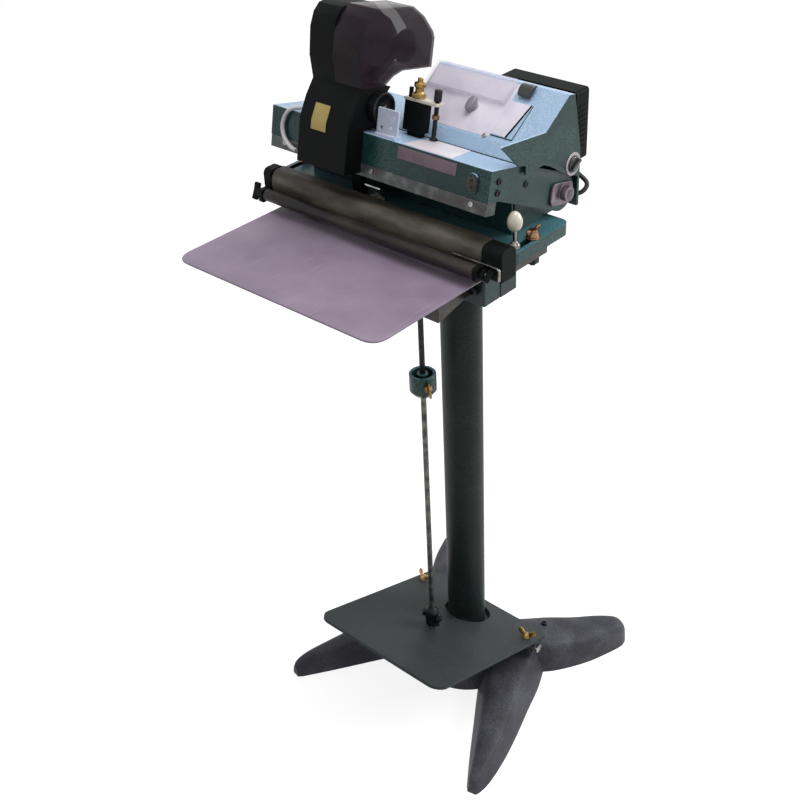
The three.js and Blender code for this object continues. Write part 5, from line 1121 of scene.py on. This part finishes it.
def arm_plates(front, top):
    """Bare plates: an oval one at the right of the face, a long one on the face and one on the top."""
    oval = box_outline(145.4, 159.5, 923.5, 940.5, 6.8)
    make("oval_plate", [slab(oval, "y", front - 3.3, front - 2.25, 0.3)], "bronzed", "arm")
    dots = socket_screws([(152.5, front - 3.3, z) for z in (928, 936)], "y", -1, 1.9, 0.8)
    make("oval_plate_screws", dots, "black_oxide", "arm")
    long = box_outline(38, 127, 934, 948.5, 1)
    make("face_plate", [slab(long, "y", front - 0.7, front - 0.05, 0.2)], "pink_film", "arm")
    sheet = rounded([(43, -164.3), (116.5, -164.3), (105, -113.5), (57, -113.5), (40, -129.5)], 1.2,
                    closed=True)
    make("top_plate", [slab(sheet, "z", top + 0.05, top + 0.8, 0.2)], "white_film", "arm")


class Arm(bpy.types.Operator):
    """Adds the upper arm: side plates, beam, heater bar, shaft, crank, screws and plates on its faces"""

    bl_idname = "sealer.arm"
    bl_label = "Upper arm"

    def execute(self, context):
        head = context.scene.sealer_head
        for word in ("left", "right"):
            eased(f"arm_cheek_{word}", f"arm_side_{word}", "hood_enamel", 1.5, 4)
        eased("arm_channel", "arm_beam", "hood_enamel", 1.2, 3)
        eased("heater_profile", "heater_bar", "bar_aluminium", 0.7, 2)
        eased("shaft_and_plates", "pivot_shaft", "pink_brass", 0.8, 3)
        eased("crank", "crank_lever", "black_oxide", 0.8, 2)
        arm_screws(head.arm_front_y, head.arm_half)
        arm_plates(head.arm_front_y, head.arm_top_z)
        return {"FINISHED"}


def panel():
    """Pale film on the incline and on the step at its right, a black edge, the clear cover, two screws."""
    step = rounded([(114.5, 8), (135.4, 8), (143.6, 56), (114.5, 56)], 0.6, closed=True)
    edge = rounded([(135.7, 7.4), (137.9, 7.4), (145.7, 56.4), (143.9, 56.4)], 0.5, closed=True)
    for name, outline, low, top, rim, look in (
        ("panel_sheet", box_outline(-13.2, 113.6, 3, 80.5, 1.5), 0.05, 0.28, 0.1, "panel_film"),
        ("step_sheet", step, 1.55, 1.8, 0.1, "panel_film"),
        ("step_edge", edge, 1.55, 2.6, 0.3, "abs_black"),
    ):
        make(name, [slab(outline, "z", low, top, rim)], look, place=on_panel)
    eased("clear_lid", "clear_cover", "clear_acrylic", 0.5, 2)
    dome = [(3.4, 0, 0.3), (3.0, 1.3, 1.0), (0, 1.8, 0)]
    heads = [lathed(dome, 4, "z", (x, y, 0), 32) for x, y in ((8, 12), (108, 4))]
    make("panel_screws", heads, "nickel", place=on_panel)


def panel_knob():
    """Panel knob with an oval grip, and the half-round rocker."""
    skirt = [(7, 0.4, 0.4), (7, 2, 0.5), (6, 2.6, 0.6), (5.4, 6, 1)]
    grids = [lathed(skirt, 4, "z", ORIGIN, 64, ripple=lambda a: 0.15 * np.cos(24 * a)),
             slab(circle(1, 40) * (5.2, 10.2), "z", 2.2, 9.9, 1.6)]
    make("panel_grip", [grid + (69, 36, 0) for grid in grids], "grey_knob", "panel_knob", "panel_knob")
    eased("rocker_cap", "power_rocker", "gloss_black", 0.6, 3)


def timer_dial():
    """The timer dial on the cheek: a knurled disc with a bar across it, over a pale ring."""
    low, high = node_box("timer_dial")
    centre, face = (low + high) / 2 * (0, 1, 1), low[0]
    disc = [(10.3, face, 0.4), (9.8, face + 3, 1.2), (0, face + 3.4, 0)]
    grids = [lathed(disc, 4, "x", ORIGIN, 64, ripple=lambda a: 0.15 * np.cos(20 * a)),
             slab(box_outline(-9.5, 9.5, -1.7, 1.7, 1.2), "x", face + 3, high[0] - 0.2, 0.6)]
    make("dial", turned_x(grids, -28, centre), "gloss_black", "timer_dial", "timer_dial")
    ring = [(10.8, face - 0.2), (14.5, face - 0.2), (14.2, face + 0.4), (10.8, face + 0.4)]
    make("dial_ring", [hoop(ring, "x", centre, 72)], "ring_film")


def rear_box():
    """The box at the back: eased walls, a row of vent ribs on its right side, screws at its corners."""
    eased("rear_box", "control_box", "abs_black", 1.6, 4)
    low, high = node_box("control_box")
    y0, y1, side = low[1] + 6, high[1] - 5, high[0]
    ribs = [slab(box_outline(y0, y1, z, z + 2.4, 1), "x", side - 0.2, side + 0.9, 0.3)
            for z in np.arange(low[2] + 16, high[2] - 16, 6.4)]
    make("box_ribs", ribs, "abs_black")
    corners = [(x, high[1], z) for x in (low[0] + 8, high[0] - 8) for z in (low[2] + 8, high[2] - 8)]
    make("box_screws", socket_screws(corners, "y", 1, 3.4, 1.6), "nickel")


class Housing(bpy.types.Operator):
    """Adds the fixed housing: side plates, left cover, hood with its panel, clear cover and controls"""

    bl_idname = "sealer.housing"
    bl_label = "Housing"

    def execute(self, context):
        for word in ("left", "right"):
            eased(f"frame_cheek_{word}", f"housing_side_{word}", "hood_enamel", 0.8, 2)
        eased("left_cover", "housing_cover", "hood_enamel", 1.4, 3)
        eased("hood_shell", "hood", "hood_enamel", 3.2, 6)
        eased("coil_block", "transformer", "core_iron", 0.6, 2)
        panel()
        panel_knob()
        timer_dial()
        rear_box()
        return {"FINISHED"}


def reel(name, body, centre, radius, core):
    """Two thin flanges with a rim on a core that is wound with foil; body and CAD node share a name."""
    start, end, rim = -58.0, -24.0, radius - 0.4
    flanges = [hoop([(5, a), (rim, a), (radius, a + 0.5), (radius, b - 0.5), (rim, b), (5, b)], "x", centre)
               for a, b in ((start, start + 2.3), (end - 2.3, end))]
    make(name, flanges, "gloss_black", body, body)
    roll = [(5, start + 2.4), (core, start + 2.4), (core, end - 2.4), (5, end - 2.4)]
    make(name + "_roll", [hoop(roll, "x", centre, ripple=lambda a: 0.12 * np.sin(3 * a))], "foil", body)


def foil_band():
    """The foil runs from the supply reel down round a guide pin and up to the take-up reel."""
    line = smooth_route([(-176, 1056), (-172, 1030), (-160, 1013), (-146, 1009), (-128, 1018),
                         (-112, 1032), (-108, 1040)], 8)
    band = np.stack([along("x", line, x) for x in (-54, -28)])
    mesh = mesh_of("foil_band", [band], on_arm, closed=False)
    thicken(add_piece("foil_band", mesh, "arm", "foil", sharp=60), 0.15, -1)
    make("foil_pin", [bar(2.4, -59.5, -22, 0.4, "x", (0, -146, 1012.2), 24)], "nickel", "arm")


def drive_wheel():
    """A wheel with 36 rounded teeth, a recessed face and a hub nut."""
    low, top, centre = -17.7, -5.7, (0, -146, 980.5)
    ring = rounded([(4, low), (18.6, low), (19.4, low + 0.9), (19.4, top - 0.9), (18.6, top), (15.4, top),
                    (14.8, top - 2.2), (8.2, top - 2.2), (7.8, top), (0, top)], 0.3, 2)
    wheel = spun(np.concatenate([[(0, low)], ring]), "x", ORIGIN, 144)
    radius = np.linalg.norm(wheel[..., 1:], axis=-1)
    angle = np.arctan2(wheel[..., 2], wheel[..., 1])
    tooth = 1 - 0.045 * (0.5 + 0.5 * np.cos(36 * angle)) * (radius > 18)
    wheel[..., 1:] *= tooth[..., None]
    make("drive_wheel", [wheel + centre], "black_oxide", "knurled_wheel", "knurled_wheel")
    nut = bar(4.4, top - 0.1, top + 2.4, 0.4, "x", centre, 36, 6)
    make("wheel_nut", [nut], "nickel", "knurled_wheel")


def casing_trim():
    """A blank yellow patch folded over the casing's front, and screws on its left side."""
    fold = [(-195.05, 946), (-195.05, 957), (-188.7, 977), (-189.3, 977.2), (-195.7, 957.1), (-195.7, 946)]
    make("yellow_patch", [slab(fold, "x", -78.5, -54, 0.2)], "yellow_film", "arm")
    places = [(-99, -180, 915), (-99, -180, 945), (-99, -150, 1085), (-99, -150, 1020), (-99, -110, 1062)]
    make("casing_screws", socket_screws(places, "x", -1, 3.2, 1.8), "nickel", "arm")


class Coder(bpy.types.Operator):
    """Adds the coder on the arm: casing, smoky guard, reels with foil, knurled wheel and its bracket"""

    bl_idname = "sealer.coder"
    bl_label = "Coder"

    def execute(self, context):
        eased("coder_casing", "coder_body", "coder_black", 3.0, 5, 20, 40)
        eased("guard_shell", "coder_guard", "smoky_acrylic", 0.9, 3, 20, 40)
        reel("foil_supply", "supply_reel", (0, -151, 1056), 29, 24)
        reel("foil_take_up", "take_up_reel", (0, -99, 1048), 20, 12)
        foil_band()
        drive_wheel()
        casing_trim()
        eased("bracket_plate", "coder_bracket", "pale_bracket", 0.5, 2)
        return {"FINISHED"}


def relay(top):
    """A moulded block under a cream lid; the fitting on it is turned brass with a hexagon."""
    lid, z = top + 42, top + 45.8
    grids = [slab(box_outline(7, 39, -127, -113, 2.0), "z", top + 6, lid, 1.0),
             slab(box_outline(13, 33, -124, -113, 1.0), "z", top, top + 6.5, 0.2)]
    make("relay_case", grids, "abs_black", "arm", "relay_block")
    make("relay_lid", [pierced(6.2, 57, -127.7, -112.3, (51, -119), 3.5, lid, top + 45.5)], "cream", "arm")
    waist = [(6.6, 5), (5.2, 8), (5.2, 12), (7.2, 13.5), (7.2, 18), (3.4, 19.5), (3.4, 23.6)]
    stem = [(across, z + rise, 0.8) for across, rise in waist] + [(0, z + 24, 0)]
    centre = (24, -121.5, 0)
    grids = [bar(7.3, z, z + 6, 0.8, "z", centre, 48, 6), lathed(stem, 4, "z", centre, 40)]
    make("fitting", grids, "brass", "arm", "brass_fitting")
    stud = bar(2.7, top + 45, top + 57, 0.8, "z", (12.5, -122.5, 0), 28)
    make("relay_stud", [stud], "abs_black", "arm")


def adjuster(top):
    """A threaded screw with a lock nut, a spring collar and a knurled cap with a red ring."""
    centre, pitch = (51, -119, 0), 1.2
    z = np.arange(top - 11, top + 48, 0.3)
    thread = np.stack([2.75 + 0.18 * np.sin(z * 2 * np.pi / pitch), z], -1)
    body = np.concatenate([[(0, z[0])], thread, [(0, z[-1])]])
    cap = [(4.3, top + 47, 0.3), (4.6, top + 48, 0.3), (4.6, top + 60, 0.6), (4, top + 61, 0.6)]
    grids = [spun(body, "z", centre, 24), bar(4.4, top, top + 4, 0.6, "z", centre, 36, 6),
             lathed(cap, 3, "z", centre, 72, ripple=lambda a: 0.12 * np.cos(24 * a))]
    make("adjusting_stem", grids, "black_oxide", "adjusting_screw", "adjusting_screw")
    ring = bar(4.4, top + 26, top + 31, 0.8, "z", centre, 36)
    make("adjusting_ring", [ring], "red_brass", "adjusting_screw")


def lever():
    """Foot, stem and an egg-shaped knob: half an ellipse turned about the stem, fuller below."""
    low, centre = node_box("release_lever")[0][2], (189, -127, 0)
    foot = [(7, low, 0.4), (6.6, low + 5, 2), (2.4, low + 9, 2), (2.4, 905, 0)]
    make("lever_stem", [lathed(foot, 4, "z", centre, 40)], "nickel", "release_lever", "release_lever")
    t = np.linspace(0, np.pi, 26)
    egg = np.stack([9.2 * np.sin(t) * (1 + 0.12 * np.cos(t)), 915.5 - 12.5 * np.cos(t)], -1)
    egg[[0, -1], 0] = 0
    make("egg_knob", [spun(egg, "z", centre)], "cream", "release_lever")


class Fittings(bpy.types.Operator):
    """Adds what stands on the arm and the base plate: relay, fitting, screws, lever, switch and stop"""

    bl_idname = "sealer.fittings"
    bl_label = "Fittings"

    def execute(self, context):
        top = context.scene.sealer_head.arm_top_z + SEAT
        relay(top)
        adjuster(top)
        lever()
        eased("switch_body", "limit_switch", "abs_black", 0.8, 3)
        eased("stop_strip", "bag_stop", "nickel", 0.3, 2)
        return {"FINISHED"}


class SEALER_PT_parts(bpy.types.Panel):
    """Lists the parts of the sealer and its settings"""

    bl_label = "Foot pedal sealer"
    bl_space_type = "VIEW_3D"
    bl_region_type = "UI"
    bl_category = "Sealer"

    def draw(self, context):
        column = self.layout.column()
        for operator in OPERATORS:
            column.operator(operator.bl_idname)
        for name, group in GROUPS.items():
            for key in group.__annotations__:
                column.prop(getattr(context.scene, name), key)


OPERATORS = (Stage, Cords, Base, Column, Pedal, PullRod, Carrier, Jaw, Arm, Housing, Coder, Fittings)
GROUPS = {"sealer_stand": StandSettings, "sealer_head": HeadSettings, "sealer_stage": StageSettings}
CLASSES = (*GROUPS.values(), *OPERATORS, SEALER_PT_parts)


def register():
    for cls in CLASSES:
        bpy.utils.register_class(cls)
    for name, group in GROUPS.items():
        setattr(bpy.types.Scene, name, bpy.props.PointerProperty(type=group))


def unregister():
    for name in GROUPS:
        delattr(bpy.types.Scene, name)
    for cls in reversed(CLASSES):
        bpy.utils.unregister_class(cls)


def main():
    """Registers the classes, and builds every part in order."""
    register()
    for operator in OPERATORS:
        group, name = operator.bl_idname.split(".")
        getattr(getattr(bpy.ops, group), name)()
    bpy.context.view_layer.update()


if __name__ == "__main__":
    main()
